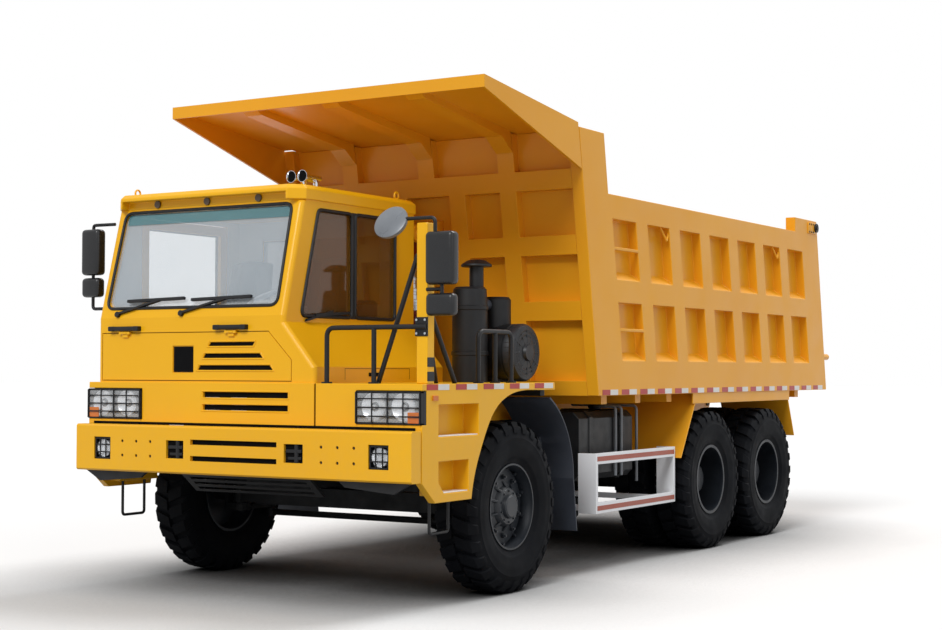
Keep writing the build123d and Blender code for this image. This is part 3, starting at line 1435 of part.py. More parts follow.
# Left side: post, rails and stakes stand proud of a thin plate
plate_x = body_inner_x + wall_plate
with BuildPart() as bed_side_left:
    with BuildSketch(Plane.YZ.offset(body_inner_x)):
        Polygon(
            (front_line(body_bottom_z), body_bottom_z),
            (front_line(front_post_top_z), front_post_top_z),
            (front_line(front_post_top_z) + post_width, front_post_top_z),
            (front_line(wall_top_z) + post_width, wall_top_z),
            (corner_block_y, wall_top_z),
            (corner_block_y, corner_block_top_z),
            (rear_line(corner_block_top_z), corner_block_top_z),
            (rear_line(body_bottom_z), body_bottom_z),
            align=None,
        )
    extrude(amount=body_half_width - body_inner_x)
    with BuildSketch(Plane.YZ.offset(plate_x)):
        for low_z, high_z in (
            (lower_panel_bottom_z, lower_panel_top_z),
            (upper_panel_bottom_z, upper_panel_top_z),
        ):
            low_y = panel_first_y - body_lean * (low_z - lower_panel_bottom_z)
            high_y = panel_first_y - body_lean * (high_z - lower_panel_bottom_z)
            for column in range(panel_count):
                Polygon(
                    (low_y + column * panel_pitch, low_z),
                    (high_y + column * panel_pitch, high_z),
                    (high_y + column * panel_pitch + panel_width, high_z),
                    (low_y + column * panel_pitch + panel_width, low_z),
                    align=None,
                )
    extrude(amount=body_half_width - plate_x, mode=Mode.SUBTRACT)
    ledge_length = (panel_count - 1) * panel_pitch + panel_width + 120
    for low_z in (lower_panel_bottom_z, upper_panel_bottom_z):
        ledge_y = panel_first_y - body_lean * (low_z - lower_panel_bottom_z) - 60
        with BuildSketch(Plane.XZ.offset(-ledge_y)):
            Polygon(
                (plate_x - 5, low_z - 5),
                (body_half_width, low_z),
                (plate_x, low_z + ledge_drop),
                (plate_x - 5, low_z + ledge_drop),
                align=None,
            )
        extrude(amount=-ledge_length)
    for rung_z in (2140, 2870):
        rung_y = panel_first_y - body_lean * (rung_z - lower_panel_bottom_z) + panel_width / 2
        with Locations((body_half_width - rung_radius, rung_y, rung_z)):
            Box(2 * rung_radius, panel_width + 10, 2 * rung_radius)
    with BuildSketch(Plane.XZ.offset(-latch_rear_y)):
        with Locations((body_half_width - latch_radius - 20, latch_z)):
            RegularPolygon(latch_radius, small_sides)
    extrude(amount=latch_rear_y - rear_line(latch_z) + 20)
    with BuildSketch(Plane.YZ.offset(body_inner_x - gate_eye_width - 34)):
        with Locations((gate_pivot_y, gate_pivot_z)):
            Circle(gate_pin_radius)
    extrude(amount=gate_eye_width + 44)

with BuildPart() as bed_side_right:
    mirror(bed_side_left.part, about=Plane.YZ)

# Front wall: plate with beams and ribs in front, and two ears for the hoist eye
canopy_slope = -0.1146
canopy_rear_y = front_line(front_post_top_z) + front_shift


def canopy_top(y):
    return canopy_front_top_z + canopy_slope * (y - canopy_front_y)


wall_front_top_z = canopy_top(canopy_rear_y) - canopy_thickness
bay_half = inner_rib_x - front_rib_width / 2
with BuildPart() as bed_front:
    with BuildSketch(Plane.YZ.offset(-body_inner_x)):
        Polygon(
            (front_line(body_bottom_z) + front_rib_depth, body_bottom_z),
            (front_line(wall_front_top_z) + front_rib_depth, wall_front_top_z),
            (front_line(wall_front_top_z) + front_shift, wall_front_top_z),
            (front_line(body_bottom_z) + front_shift, body_bottom_z),
            align=None,
        )
    extrude(amount=2 * body_inner_x)
    with BuildSketch(Plane.YZ.offset(-body_inner_x)):
        Polygon(
            (front_line(beam_1_bottom_z), beam_1_bottom_z),
            (front_line(beam_1_top_z), beam_1_top_z),
            (front_line(beam_1_top_z) + front_rib_depth, beam_1_top_z),
            (front_line(beam_1_bottom_z) + front_rib_depth, beam_1_bottom_z),
            align=None,
        )
    extrude(amount=2 * body_inner_x)
    with BuildSketch(Plane.YZ.offset(bay_half)):
        for low_z, high_z in (
            (body_bottom_z, beam_4_top_z),
            (beam_3_bottom_z, beam_3_top_z),
            (beam_2_bottom_z, beam_2_top_z),
        ):
            Polygon(
                (front_line(low_z), low_z),
                (front_line(high_z), high_z),
                (front_line(high_z) + front_rib_depth, high_z),
                (front_line(low_z) + front_rib_depth, low_z),
                align=None,
            )
    beams = extrude(amount=body_inner_x - bay_half)
    mirror(beams, about=Plane.YZ)
    for rib_x, low_z, high_z in (
        (outer_rib_x, body_bottom_z, wall_front_top_z),
        (-outer_rib_x, body_bottom_z, wall_front_top_z),
        (inner_rib_x, body_bottom_z, beam_1_bottom_z),
        (-inner_rib_x, body_bottom_z, beam_1_bottom_z),
        (0, beam_1_top_z, wall_front_top_z),
    ):
        with BuildSketch(Plane.YZ.offset(rib_x - front_rib_width / 2)):
            Polygon(
                (front_line(low_z), low_z),
                (front_line(high_z), high_z),
                (front_line(high_z) + front_rib_depth, high_z),
                (front_line(low_z) + front_rib_depth, low_z),
                align=None,
            )
        extrude(amount=front_rib_width)
    ear_x = hoist_eye_width / 2 + hoist_ear_gap
    with BuildSketch(Plane.YZ.offset(ear_x)):
        Polygon(
            (hoist_y, hoist_eye_z - hoist_eye_radius),
            (front_line(hoist_eye_z) + front_rib_depth + 15, hoist_eye_z - hoist_eye_radius),
            (front_line(hoist_eye_z) + front_rib_depth, hoist_eye_z + 2 * hoist_eye_radius),
            (hoist_y, hoist_eye_z + hoist_eye_radius),
            align=None,
        )
        with Locations((hoist_y, hoist_eye_z)):
            RegularPolygon(hoist_eye_radius, round_sides)
    ears = extrude(amount=hoist_ear)
    with BuildSketch(Plane.YZ.offset(ear_x + hoist_ear)):
        with Locations((hoist_y, hoist_eye_z)):
            RegularPolygon(hoist_pin_radius, small_sides)
    pin_heads = extrude(amount=16)
    mirror(ears, about=Plane.YZ)
    mirror(pin_heads, about=Plane.YZ)

# Canopy over the cab: sloping sheet, front lip, cheeks and three ribs below
canopy_stop_z = canopy_top(front_line(front_post_top_z) - 20)
canopy_foot_y = front_line(canopy_foot_z) - 6
with BuildPart() as bed_canopy:
    with BuildSketch(Plane.YZ.offset(-body_half_width)):
        Polygon(
            (canopy_front_y, canopy_top(canopy_front_y)),
            (front_line(front_post_top_z) - 20, canopy_stop_z),
            (front_line(front_post_top_z) - 20, canopy_stop_z - canopy_thickness),
            (canopy_front_y + 25, canopy_top(canopy_front_y + 25) - canopy_thickness),
            (canopy_front_y + 25, canopy_front_top_z - canopy_lip),
            (canopy_front_y, canopy_front_top_z - canopy_lip),
            align=None,
        )
    extrude(amount=2 * body_half_width)
    with BuildSketch(Plane.YZ.offset(-body_inner_x + 5)):
        Polygon(
            (front_line(front_post_top_z) - 40, canopy_top(front_line(front_post_top_z) - 40)),
            (canopy_rear_y, canopy_top(canopy_rear_y)),
            (canopy_rear_y, canopy_top(canopy_rear_y) - canopy_thickness),
            (
                front_line(front_post_top_z) - 40,
                canopy_top(front_line(front_post_top_z) - 40) - canopy_thickness,
            ),
            align=None,
        )
    extrude(amount=2 * body_inner_x - 10)
    with BuildSketch(Plane.YZ.offset(body_half_width - canopy_cheek)):
        Polygon(
            (canopy_front_y, canopy_front_top_z - canopy_lip),
            (canopy_front_y, canopy_front_top_z),
            (front_line(front_post_top_z) - 20, canopy_stop_z),
            (front_line(canopy_cheek_z) - 8, canopy_cheek_z),
            align=None,
        )
    cheek = extrude(amount=canopy_cheek)
    mirror(cheek, about=Plane.YZ)
    for rib_x in (-outer_rib_x, 0, outer_rib_x):
        with BuildSketch(Plane.YZ.offset(rib_x - front_rib_width / 2)):
            Polygon(
                (canopy_front_y + 60, canopy_top(canopy_front_y + 60) - canopy_thickness + 2),
                (canopy_front_y + 200, canopy_top(canopy_front_y + 200) - canopy_rib_height),
                (canopy_foot_y - 184, canopy_top(canopy_foot_y - 184) - canopy_rib_height - 20),
                (canopy_foot_y, canopy_foot_z),
                (front_line(front_post_top_z) - 20, canopy_stop_z - canopy_thickness + 2),
                align=None,
            )
        extrude(amount=front_rib_width)

# Fenders of the dump body over the rear wheels: side strip, front shield and rear flap
with BuildPart() as rear_fenders:
    with BuildSketch(Plane.YZ.offset(body_fender_outer_x - body_fender_sheet)):
        with Locations(((body_fender_y_1 + body_fender_y_2) / 2, (body_fender_top_z + body_bottom_z) / 2)):
            Rectangle(body_fender_y_2 - body_fender_y_1 + 120, body_bottom_z - body_fender_top_z)
    extrude(amount=body_fender_sheet)
    with BuildSketch(Plane.YZ.offset(body_fender_inner_x)):
        Polygon(
            (body_fender_y_1 + 60, body_bottom_z),
            (body_fender_front_y, body_fender_front_z),
            (body_fender_front_y - body_fender_sheet, body_fender_front_z),
            (body_fender_y_1 + 60 - body_fender_sheet, body_bottom_z),
            align=None,
        )
        Polygon(
            (body_fender_y_2 - 30, body_bottom_z),
            (body_fender_rear_y, body_fender_rear_z),
            (body_fender_rear_y + body_fender_sheet, body_fender_rear_z),
            (body_fender_y_2 - 30 + body_fender_sheet, body_bottom_z),
            align=None,
        )
    extrude(amount=body_fender_outer_x - body_fender_inner_x)
    mirror(about=Plane.YZ)

# Tailgate hung from its top eyes
gate_half = body_inner_x - gate_side_gap
gate_bottom_z = body_bottom_z + gate_floor_gap
gate_top_z = wall_top_z - gate_floor_gap
gate_eye_x = body_inner_x - gate_eye_width - 14
with BuildPart() as tailgate:
    with BuildSketch(Plane.YZ.offset(-gate_half)):
        Polygon(
            (rear_line(gate_bottom_z) - 10 - gate_thickness, gate_bottom_z),
            (rear_line(gate_top_z) - 10 - gate_thickness, gate_top_z),
            (rear_line(gate_top_z) - 10, gate_top_z),
            (rear_line(gate_bottom_z) - 10, gate_bottom_z),
            align=None,
        )
    extrude(amount=2 * gate_half)
    gate_face = Plane(
        origin=(0, rear_line(gate_bottom_z) - 10, gate_bottom_z), x_dir=(-1, 0, 0), z_dir=(0, 1, body_lean)
    )
    with BuildSketch(gate_face):
        with Locations((0, (gate_top_z - gate_bottom_z) / 2)):
            with GridLocations(580, 850, 5, 2):
                Rectangle(430, 640)
    extrude(amount=-(gate_thickness - gate_plate), mode=Mode.SUBTRACT)
    with BuildSketch(Plane.YZ.offset(gate_eye_x)):
        with Locations((gate_pivot_y, gate_pivot_z)):
            RegularPolygon(gate_eye_radius, round_sides)
        with Locations((gate_pivot_y + 5, (gate_pivot_z + gate_top_z) / 2 - 10)):
            Rectangle(76, gate_pivot_z - gate_top_z + 20)
        with Locations((gate_pivot_y, gate_pivot_z)):
            Circle(gate_pin_radius + pin_clearance, mode=Mode.SUBTRACT)
    eye = extrude(amount=gate_eye_width)
    mirror(eye, about=Plane.YZ)

# Telescopic hoist: barrel on the cradle pin, then four stages one inside the other
stage_1_radius = hoist_barrel_radius - hoist_wall - hoist_stage_gap
stage_2_radius = stage_1_radius - hoist_stage_wall - hoist_stage_gap
stage_3_radius = stage_2_radius - hoist_stage_wall - hoist_stage_gap
stage_4_radius = stage_3_radius - hoist_stage_wall - hoist_stage_gap
stage_low_z = hoist_barrel_bottom_z + hoist_wall + 10
with BuildPart() as hoist_barrel:
    with BuildSketch(Plane.XY.offset(hoist_barrel_bottom_z)):
        with Locations((0, hoist_y)):
            RegularPolygon(hoist_barrel_radius, tyre_sides, major_radius=False)
    extrude(amount=hoist_barrel_top_z - hoist_barrel_bottom_z)
    with BuildSketch(Plane.XY.offset(hoist_barrel_bottom_z + hoist_wall)):
        with Locations((0, hoist_y)):
            RegularPolygon(hoist_barrel_radius - hoist_wall, tyre_sides, major_radius=False)
    extrude(amount=hoist_barrel_top_z - hoist_barrel_bottom_z, mode=Mode.SUBTRACT)
    with BuildSketch(Plane.YZ.offset(-hoist_foot_width / 2)):
        with Locations((hoist_y, hoist_base_z)):
            RegularPolygon(hoist_foot_radius, round_sides)
        with Locations((hoist_y, (hoist_base_z + hoist_barrel_bottom_z) / 2)):
            Rectangle(2 * hoist_foot_radius, hoist_barrel_bottom_z - hoist_base_z)
        with Locations((hoist_y, hoist_base_z)):
            Circle(hoist_pin_radius + pin_clearance, mode=Mode.SUBTRACT)
    extrude(amount=hoist_foot_width)

with BuildPart() as hoist_stage_1:
    with BuildSketch(Plane.XY.offset(stage_low_z)):
        with Locations((0, hoist_y)):
            RegularPolygon(stage_1_radius, tyre_sides, major_radius=False)
            RegularPolygon(
                stage_1_radius - hoist_stage_wall, tyre_sides, major_radius=False, mode=Mode.SUBTRACT
            )
    extrude(amount=hoist_barrel_top_z + hoist_stage_rise - stage_low_z)

with BuildPart() as hoist_stage_2:
    with BuildSketch(Plane.XY.offset(stage_low_z)):
        with Locations((0, hoist_y)):
            RegularPolygon(stage_2_radius, tyre_sides, major_radius=False)
            RegularPolygon(
                stage_2_radius - hoist_stage_wall, tyre_sides, major_radius=False, mode=Mode.SUBTRACT
            )
    extrude(amount=hoist_barrel_top_z + 2 * hoist_stage_rise - stage_low_z)

with BuildPart() as hoist_stage_3:
    with BuildSketch(Plane.XY.offset(stage_low_z)):
        with Locations((0, hoist_y)):
            RegularPolygon(stage_3_radius, tyre_sides, major_radius=False)
            RegularPolygon(
                stage_3_radius - hoist_stage_wall, tyre_sides, major_radius=False, mode=Mode.SUBTRACT
            )
    extrude(amount=hoist_barrel_top_z + 3 * hoist_stage_rise - stage_low_z)

with BuildPart() as hoist_stage_4:
    with BuildSketch(Plane.XY.offset(stage_low_z)):
        with Locations((0, hoist_y)):
            RegularPolygon(stage_4_radius, tyre_sides, major_radius=False)
    extrude(amount=hoist_head_bottom_z - stage_low_z)
    with BuildSketch(Plane.YZ.offset(-hoist_eye_width / 2)):
        with Locations((hoist_y, hoist_eye_z)):
            RegularPolygon(hoist_eye_radius, round_sides)
        with Locations((hoist_y, (hoist_head_bottom_z + hoist_eye_z) / 2)):
            Rectangle(2 * stage_4_radius, hoist_eye_z - hoist_head_bottom_z)
        with Locations((hoist_y, hoist_eye_z)):
            Circle(hoist_pin_radius + pin_clearance, mode=Mode.SUBTRACT)
    extrude(amount=hoist_eye_width)

nodes = {
    "frame_rails": frame_rails,
    "crossmembers": crossmembers,
    "hoist_cradle": hoist_cradle,
    "bumper": bumper,
    "under_guard": under_guard,
    "lamps": lamps,
    "fender_left": fender_left,
    "fender_right": fender_right,
    "mirror_post": mirror_post,
    "mirrors": mirrors,
    "deck_rails": deck_rails,
    "cab_shell": cab_shell,
    "cab_roof": cab_roof,
    "cab_glass": cab_glass,
    "seats": seats,
    "dashboard": dashboard,
    "horns": horns,
    "wipers": wipers,
    "air_cleaner": air_cleaner,
    "engine": engine,
    "fuel_tank": fuel_tank,
    "side_guards": side_guards,
    "mudflaps": mudflaps,
    "front_axle": front_axle,
    "rear_axles": rear_axles,
    "leaf_springs": leaf_springs,
    "prop_shafts": prop_shafts,
    "door": door,
    "door_glass": door_glass,
    "front_hatch": front_hatch,
    "bed_floor": bed_floor,
    "bed_side_left": bed_side_left,
    "bed_side_right": bed_side_right,
    "bed_front": bed_front,
    "bed_canopy": bed_canopy,
    "rear_fenders": rear_fenders,
    "tailgate": tailgate,
    "hoist_barrel": hoist_barrel,
    "hoist_stage_1": hoist_stage_1,
    "hoist_stage_2": hoist_stage_2,
    "hoist_stage_3": hoist_stage_3,
    "hoist_stage_4": hoist_stage_4,
    "knuckle_left": knuckle_left,
    "knuckle_right": knuckle_right,
    "tie_rod": tie_rod,
    "tyre_front_left": tyre_front_left,
    "rim_front_left": rim_front_left,
    "tyre_front_right": tyre_front_right,
    "rim_front_right": rim_front_right,
    "tyres_rear_left_1": tyres_rear_left_1,
    "rims_rear_left_1": rims_rear_left_1,
    "tyres_rear_left_2": tyres_rear_left_2,
    "rims_rear_left_2": rims_rear_left_2,
    "tyres_rear_right_1": tyres_rear_right_1,
    "rims_rear_right_1": rims_rear_right_1,
    "tyres_rear_right_2": tyres_rear_right_2,
    "rims_rear_right_2": rims_rear_right_2,
}
for node_name, node in nodes.items():
    node.part.label = node_name
    export_step(node.part, f"parts/{node_name}.step")
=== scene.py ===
import json
import math

import bmesh
import bpy
from mathutils import Matrix, Vector


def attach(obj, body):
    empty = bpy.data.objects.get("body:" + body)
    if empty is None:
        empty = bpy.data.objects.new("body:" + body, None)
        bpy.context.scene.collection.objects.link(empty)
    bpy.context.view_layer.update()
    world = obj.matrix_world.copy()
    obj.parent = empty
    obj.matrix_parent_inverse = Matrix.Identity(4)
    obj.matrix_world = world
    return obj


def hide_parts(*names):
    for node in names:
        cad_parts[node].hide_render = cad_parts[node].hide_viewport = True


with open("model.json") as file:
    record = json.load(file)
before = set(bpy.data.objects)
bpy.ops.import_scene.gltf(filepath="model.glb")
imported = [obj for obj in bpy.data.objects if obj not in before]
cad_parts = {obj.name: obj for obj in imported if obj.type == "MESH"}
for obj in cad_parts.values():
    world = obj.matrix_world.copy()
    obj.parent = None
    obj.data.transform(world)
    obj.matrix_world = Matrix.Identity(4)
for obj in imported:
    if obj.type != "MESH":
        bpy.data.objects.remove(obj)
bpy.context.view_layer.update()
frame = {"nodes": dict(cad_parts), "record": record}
scene = bpy.context.scene
link = scene.collection.objects.link
cadNodes = frame["nodes"]
bodyOf = {node: body for body, names in frame["record"]["behaviour"]["bodies"].items() for node in names}
print("frame loaded")


# camera at the photograph's angle
cameraSettings = {
    "place": (8.2524, -14.3510, 1.7804),
    "turn": (91.920, -0.074, 31.617),  # degrees
    "lens": 62.81,
    "shift": (-0.0039, -0.0005),
}
cameraData = bpy.data.cameras.new("photoCamera")
cameraData.lens = cameraSettings["lens"]
cameraData.sensor_width = 36
cameraData.shift_x, cameraData.shift_y = cameraSettings["shift"]
camera = bpy.data.objects.new("photoCamera", cameraData)
camera.location = cameraSettings["place"]
camera.rotation_euler = [math.radians(a) for a in cameraSettings["turn"]]
link(camera)
scene.camera = camera
scene.view_settings.view_transform = "Standard"


def linearColour(code):
    parts = [int(code[i:i + 2], 16) / 255 for i in (0, 2, 4)]
    return [c / 12.92 if c <= 0.04045 else ((c + 0.055) / 1.055) ** 2.4 for c in parts] + [1.0]


# studio: white world, three soft suns, pale floor with a painted shadow close under the truck
studio = {
    "sky": 0.37, "floor": 0.40, "floorSeen": 0.80, "floorSize": 150,
    "paintedShadowReach": 2.0, "paintedShadowDepth": 1.35, "paintedShadowSamples": 8,  # painted shadow on the floor: reach in metres, depth as a power
    "suns": (
        {"name": "frontSun", "strength": 2.0, "from": (0.11, -0.77, 0.63), "spread": 24},
        {"name": "backSun", "strength": 1.9, "from": (0.16, 0.58, 0.80), "spread": 26},
        {"name": "sideSun", "strength": 0.35, "from": (0.85, -0.20, 0.48), "spread": 40},
    ),
}


def setInputs(tree, node, inputs):
    for name, value in inputs.items():
        if isinstance(value, bpy.types.NodeSocket):
            tree.links.new(value, node.inputs[name])
        else:
            node.inputs[name].default_value = value


def addNode(tree, kind, inputs, **settings):
    node = tree.nodes.new("ShaderNode" + kind)
    for name, value in settings.items():
        setattr(node, name, value)
    setInputs(tree, node, inputs)
    return node.outputs


def mathOf(tree, operation, first, second):
    return addNode(tree, "Math", {0: first, 1: second}, operation=operation)[0]


def anySeen(tree):
    rays = addNode(tree, "LightPath", {})
    seen = rays["Is Camera Ray"]
    for kind in ("Is Transmission Ray", "Is Glossy Ray"):
        seen = mathOf(tree, "MAXIMUM", seen, rays[kind])
    return seen


def glowOf(tree, strength):
    return addNode(tree, "Background", {"Color": (1, 1, 1, 1), "Strength": strength})[0]


world = bpy.data.worlds.new("studioWorld")
scene.world = world
world.use_nodes = True
worldTree = world.node_tree
worldTree.nodes.clear()
glows = {1: glowOf(worldTree, studio["sky"]), 2: glowOf(worldTree, 1.0)}  # as light, and as seen
skyMix = addNode(worldTree, "MixShader", {"Fac": anySeen(worldTree), **glows})
addNode(worldTree, "OutputWorld", {"Surface": skyMix[0]})

for lamp in studio["suns"]:
    sunData = bpy.data.lights.new(lamp["name"], "SUN")
    sunData.energy = lamp["strength"]
    sunData.angle = math.radians(lamp["spread"])
    sun = bpy.data.objects.new(lamp["name"], sunData)
    sun.rotation_euler = Vector(lamp["from"]).to_track_quat("Z", "Y").to_euler()
    link(sun)

floorMesh = bpy.data.meshes.new("studioFloor")
floorBm = bmesh.new()
bmesh.ops.create_grid(floorBm, x_segments=1, y_segments=1, size=studio["floorSize"])
floorBm.to_mesh(floorMesh)
floorBm.free()
studioFloor = bpy.data.objects.new("studioFloor", floorMesh)
link(studioFloor)
floorMat = bpy.data.materials.new("paleFloor")
floorMat.use_nodes = True
floorTree = floorMat.node_tree
floorTree.nodes.clear()
tones = {"To Min": studio["floor"], "To Max": studio["floorSeen"]}  # lifted to white where it is seen
floorTone = addNode(floorTree, "MapRange", {"Value": anySeen(floorTree), **tones})
# painted shadow: ambient occlusion darkens the floor colour close under the truck, for all rays
floorOcclusionForShadow = addNode(
    floorTree, "AmbientOcclusion", {"Distance": studio["paintedShadowReach"]}, samples=studio["paintedShadowSamples"],
)
paintedFloorShadow = mathOf(floorTree, "POWER", floorOcclusionForShadow["AO"], studio["paintedShadowDepth"])
floorColourWithShadow = mathOf(floorTree, "MULTIPLY", floorTone["Result"], paintedFloorShadow)
floorDiffuse = addNode(floorTree, "BsdfDiffuse", {"Color": floorColourWithShadow})
addNode(floorTree, "OutputMaterial", {"Surface": floorDiffuse[0]})
floorMesh.materials.append(floorMat)
print("studio set")


# materials
paintForm = {
    "patches": 0.7, "specks": 14.0, "gloss": 3.1, "waves": 2.2, "peel": 240.0,  # noise scales
    "rough": (0.32, 0.44), "coat": 0.12, "coatRough": 0.12, "specular": 0.26,
    "dust": "A89678", "dustHeights": (0.2, 1.9),  # a little road dust low down
    "waveDepth": 0.10, "peelDepth": 0.05,
}


def startMaterial(name):
    mat = bpy.data.materials.new(name)
    mat.use_nodes = True
    tree = mat.node_tree
    return mat, tree, tree.nodes["Principled BSDF"], addNode(tree, "TexCoord", {})["Object"]


def noiseOn(tree, coords, scale, detail=3.0):
    return addNode(tree, "TexNoise", {"Scale": scale, "Detail": detail, "Vector": coords})["Fac"]


def rangeOf(tree, value, low=0.0, high=1.0, fromLow=0.3, fromHigh=0.7):
    inputs = {"Value": value, "From Min": fromLow, "From Max": fromHigh, "To Min": low, "To Max": high}
    return addNode(tree, "MapRange", inputs)["Result"]


def twoTone(tree, factor, first, second):
    first, second = (linearColour(tone) if isinstance(tone, str) else tone for tone in (first, second))
    return addNode(tree, "Mix", {"A": first, "B": second, "Factor": factor}, data_type="RGBA")["Result"]


def bumpOf(tree, *heights):
    before = {}
    for height, strength, distance in heights:
        bump = addNode(tree, "Bump", {"Height": height, "Strength": strength, "Distance": distance, **before})
        before = {"Normal": bump["Normal"]}
    return before["Normal"]


def paintFinish(name, main, shade, dust=0.12):
    mat, tree, shader, coords = startMaterial(name)
    patches = rangeOf(tree, noiseOn(tree, coords, paintForm["patches"]))
    height = addNode(tree, "SeparateXYZ", {0: coords})["Z"]
    low = rangeOf(tree, height, dust, 0.0, *paintForm["dustHeights"])
    speck = rangeOf(tree, noiseOn(tree, coords, paintForm["specks"], 6.0), 0.2, 1.0)
    body = twoTone(tree, patches, main, shade)
    wavy = noiseOn(tree, coords, paintForm["waves"], 1.0)
    fine = noiseOn(tree, coords, paintForm["peel"], 2.0)
    setInputs(tree, shader, {
        "Base Color": twoTone(tree, mathOf(tree, "MULTIPLY", low, speck), body, paintForm["dust"]),
        "Roughness": rangeOf(tree, noiseOn(tree, coords, paintForm["gloss"], 5.0), *paintForm["rough"]),
        "Coat Weight": paintForm["coat"], "Coat Roughness": paintForm["coatRough"],
        "Specular IOR Level": paintForm["specular"],
        "Normal": bumpOf(tree, (wavy, paintForm["waveDepth"], 0.02), (fine, paintForm["peelDepth"], 0.002)),
    })
    return mat


def plainFinish(name, main, shade, rough=(0.45, 0.6), metallic=0.0, grain=90.0, depth=0.1, scale=4.0, shine=0.5):
    mat, tree, shader, coords = startMaterial(name)
    patches = rangeOf(tree, noiseOn(tree, coords, scale, 6.0))
    setInputs(tree, shader, {
        "Base Color": twoTone(tree, patches, main, shade),
        "Roughness": rangeOf(tree, noiseOn(tree, coords, scale * 2.3, 5.0), *rough),
        "Metallic": metallic, "Specular IOR Level": shine,
        "Normal": bumpOf(tree, (noiseOn(tree, coords, grain, 4.0), depth, 0.003)),
    })
    return mat


def glassFinish(name, main, shade, alpha, rough=0.03):
    mat, tree, shader, coords = startMaterial(name)
    patches = rangeOf(tree, noiseOn(tree, coords, 1.3))
    setInputs(tree, shader, {
        "Base Color": twoTone(tree, patches, main, shade),
        "Roughness": rough, "Alpha": alpha, "Specular IOR Level": 0.6,
        "Normal": bumpOf(tree, (noiseOn(tree, coords, 1.7, 1.0), 0.02, 0.01)),
    })
    return mat


yellowPaint = paintFinish("yellowPaint", "F2B512", "EDAE10")
# bed paint is the yellow paint made darker and more orange: painted shade of the side light
bedPaintWithPaintedShade = paintFinish("bedPaintWithPaintedShade", "EBA61E", "E59E1A")
blackPaint = plainFinish("blackPaint", "0A0B0D", "121316", (0.38, 0.54), shine=0.3)
ironBlack = plainFinish("ironBlack", "0A0B0D", "151719", (0.55, 0.75), grain=60.0, depth=0.25, shine=0.25)
whitePaint = paintFinish("whitePaint", "F1F3F6", "E8EAEE", dust=0.05)
redPaint = paintFinish("redPaint", "7A1216", "5E0C10", dust=0.0)
tyreRubber = plainFinish("tyreRubber", "0A0B0E", "111317", (0.62, 0.8), grain=140.0, depth=0.2, scale=2.5, shine=0.08)
flapRubber = plainFinish("flapRubber", "262A33", "2E333D", (0.5, 0.65), grain=70.0, depth=0.12)
rimPaint = plainFinish("rimPaint", "14181E", "1C2128", (0.4, 0.55), grain=120.0, depth=0.08)
darkPlastic = plainFinish("darkPlastic", "121315", "1A1B1E", (0.4, 0.55), grain=260.0, depth=0.08, shine=0.3)
mirrorPlastic = plainFinish("mirrorPlastic", "111214", "1A1B1E", (0.24, 0.36), grain=300.0, depth=0.05, shine=0.4)
greyTrim = plainFinish("greyTrim", "D9DDE1", "CED3D8", (0.55, 0.7), grain=200.0, depth=0.08)
dashGrey = plainFinish("dashGrey", "AEB3B9", "A2A8AE", (0.6, 0.75), grain=240.0, depth=0.1)
seatCloth = plainFinish("seatCloth", "3A3C42", "46484F", (0.75, 0.9), grain=420.0, depth=0.3)
chromeMetal = plainFinish("chromeMetal", "D5D7DA", "C4C7CB", (0.06, 0.14), metallic=1.0, grain=30.0, depth=0.01)
steelMetal = plainFinish("steelMetal", "B4B8BD", "A2A6AB", (0.18, 0.3), metallic=1.0, grain=200.0, depth=0.03)
windshieldGlass = glassFinish("windshieldGlass", "E4EDF4", "D9E5EE", 0.30)
clearGlass = glassFinish("clearGlass", "E2E9EC", "D7E0E4", 0.14)
mirrorGrey = plainFinish("mirrorGrey", "6A6E74", "7B8086", (0.25, 0.38), grain=220.0, depth=0.04)
# the brown of the side and rear panes is a painted reflection
paintedReflectionGlass = glassFinish("paintedReflectionGlass", "6A431A", "77501F", 0.66)
lampGlass = glassFinish("lampGlass", "F4F6F8", "E9EDF0", 0.22, 0.05)
amberGlass = glassFinish("amberGlass", "E07A12", "D2690C", 0.85, 0.08)
redGlass = glassFinish("redGlass", "B01A16", "9A1410", 0.9, 0.08)
tapeRed = plainFinish("tapeRed", "B3201A", "A01A15", (0.3, 0.4), grain=500.0, depth=0.1)
tapeWhite = plainFinish("tapeWhite", "E4E2DE", "D6D3CE", (0.3, 0.4), grain=500.0, depth=0.1)
tealGlass = glassFinish("tealGlass", "5E949B", "558B93", 0.55)
lampSilver = plainFinish("lampSilver", "EEF0F3", "DDE0E4", (0.16, 0.28), metallic=0.6, grain=30.0, depth=0.02)
guardRed = paintFinish("guardRed", "A8503C", "9C4836", dust=0.08)
# near-black and matt: painted shade in slots, louvres, pockets and horn mouths, and dark seam lines
darkJointAndPaintedShade = plainFinish("darkJointAndPaintedShade", "070708", "0D0D0F", (0.8, 0.92), shine=0.08)
coverGrey = plainFinish("coverGrey", "181A1D", "222428", (0.4, 0.55), grain=160.0, depth=0.08, shine=0.35)
roofBronze = plainFinish("roofBronze", "5A4630", "4A3A28", (0.3, 0.45), grain=160.0, depth=0.05)
print("materials made")


# shared makers
softForm = {"weld": 0.00005, "flat": 1, "sharp": 28, "steps": 2, "cornerSteps": 6}  # angles in degrees


def pieceName(start, node):
    return start + "".join(word.title() for word in node.split("_"))


def addPiece(name, data, body):
    obj = bpy.data.objects.new(name, data)
    link(obj)
    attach(obj, body)
    return obj


def newObject(name, bm, finishes, body="chassis", smooth=None):
    bmesh.ops.recalc_face_normals(bm, faces=bm.faces)
    mesh = bpy.data.meshes.new(name)
    bm.to_mesh(mesh)
    bm.free()
    for finish in finishes if isinstance(finishes, (list, tuple)) else [finishes]:
        mesh.materials.append(finish)
    if smooth:
        for face in mesh.polygons:
            face.use_smooth = True
        mesh.set_sharp_from_angle(angle=math.radians(smooth))
    return addPiece(name, mesh, body)


def roundEdges(bm, edges, offset, segments):
    bmesh.ops.bevel(
        bm, geom=edges, offset=offset, offset_type="OFFSET", segments=segments, profile=0.5,
        affect="EDGES", clamp_overlap=True, material=-1,
    )


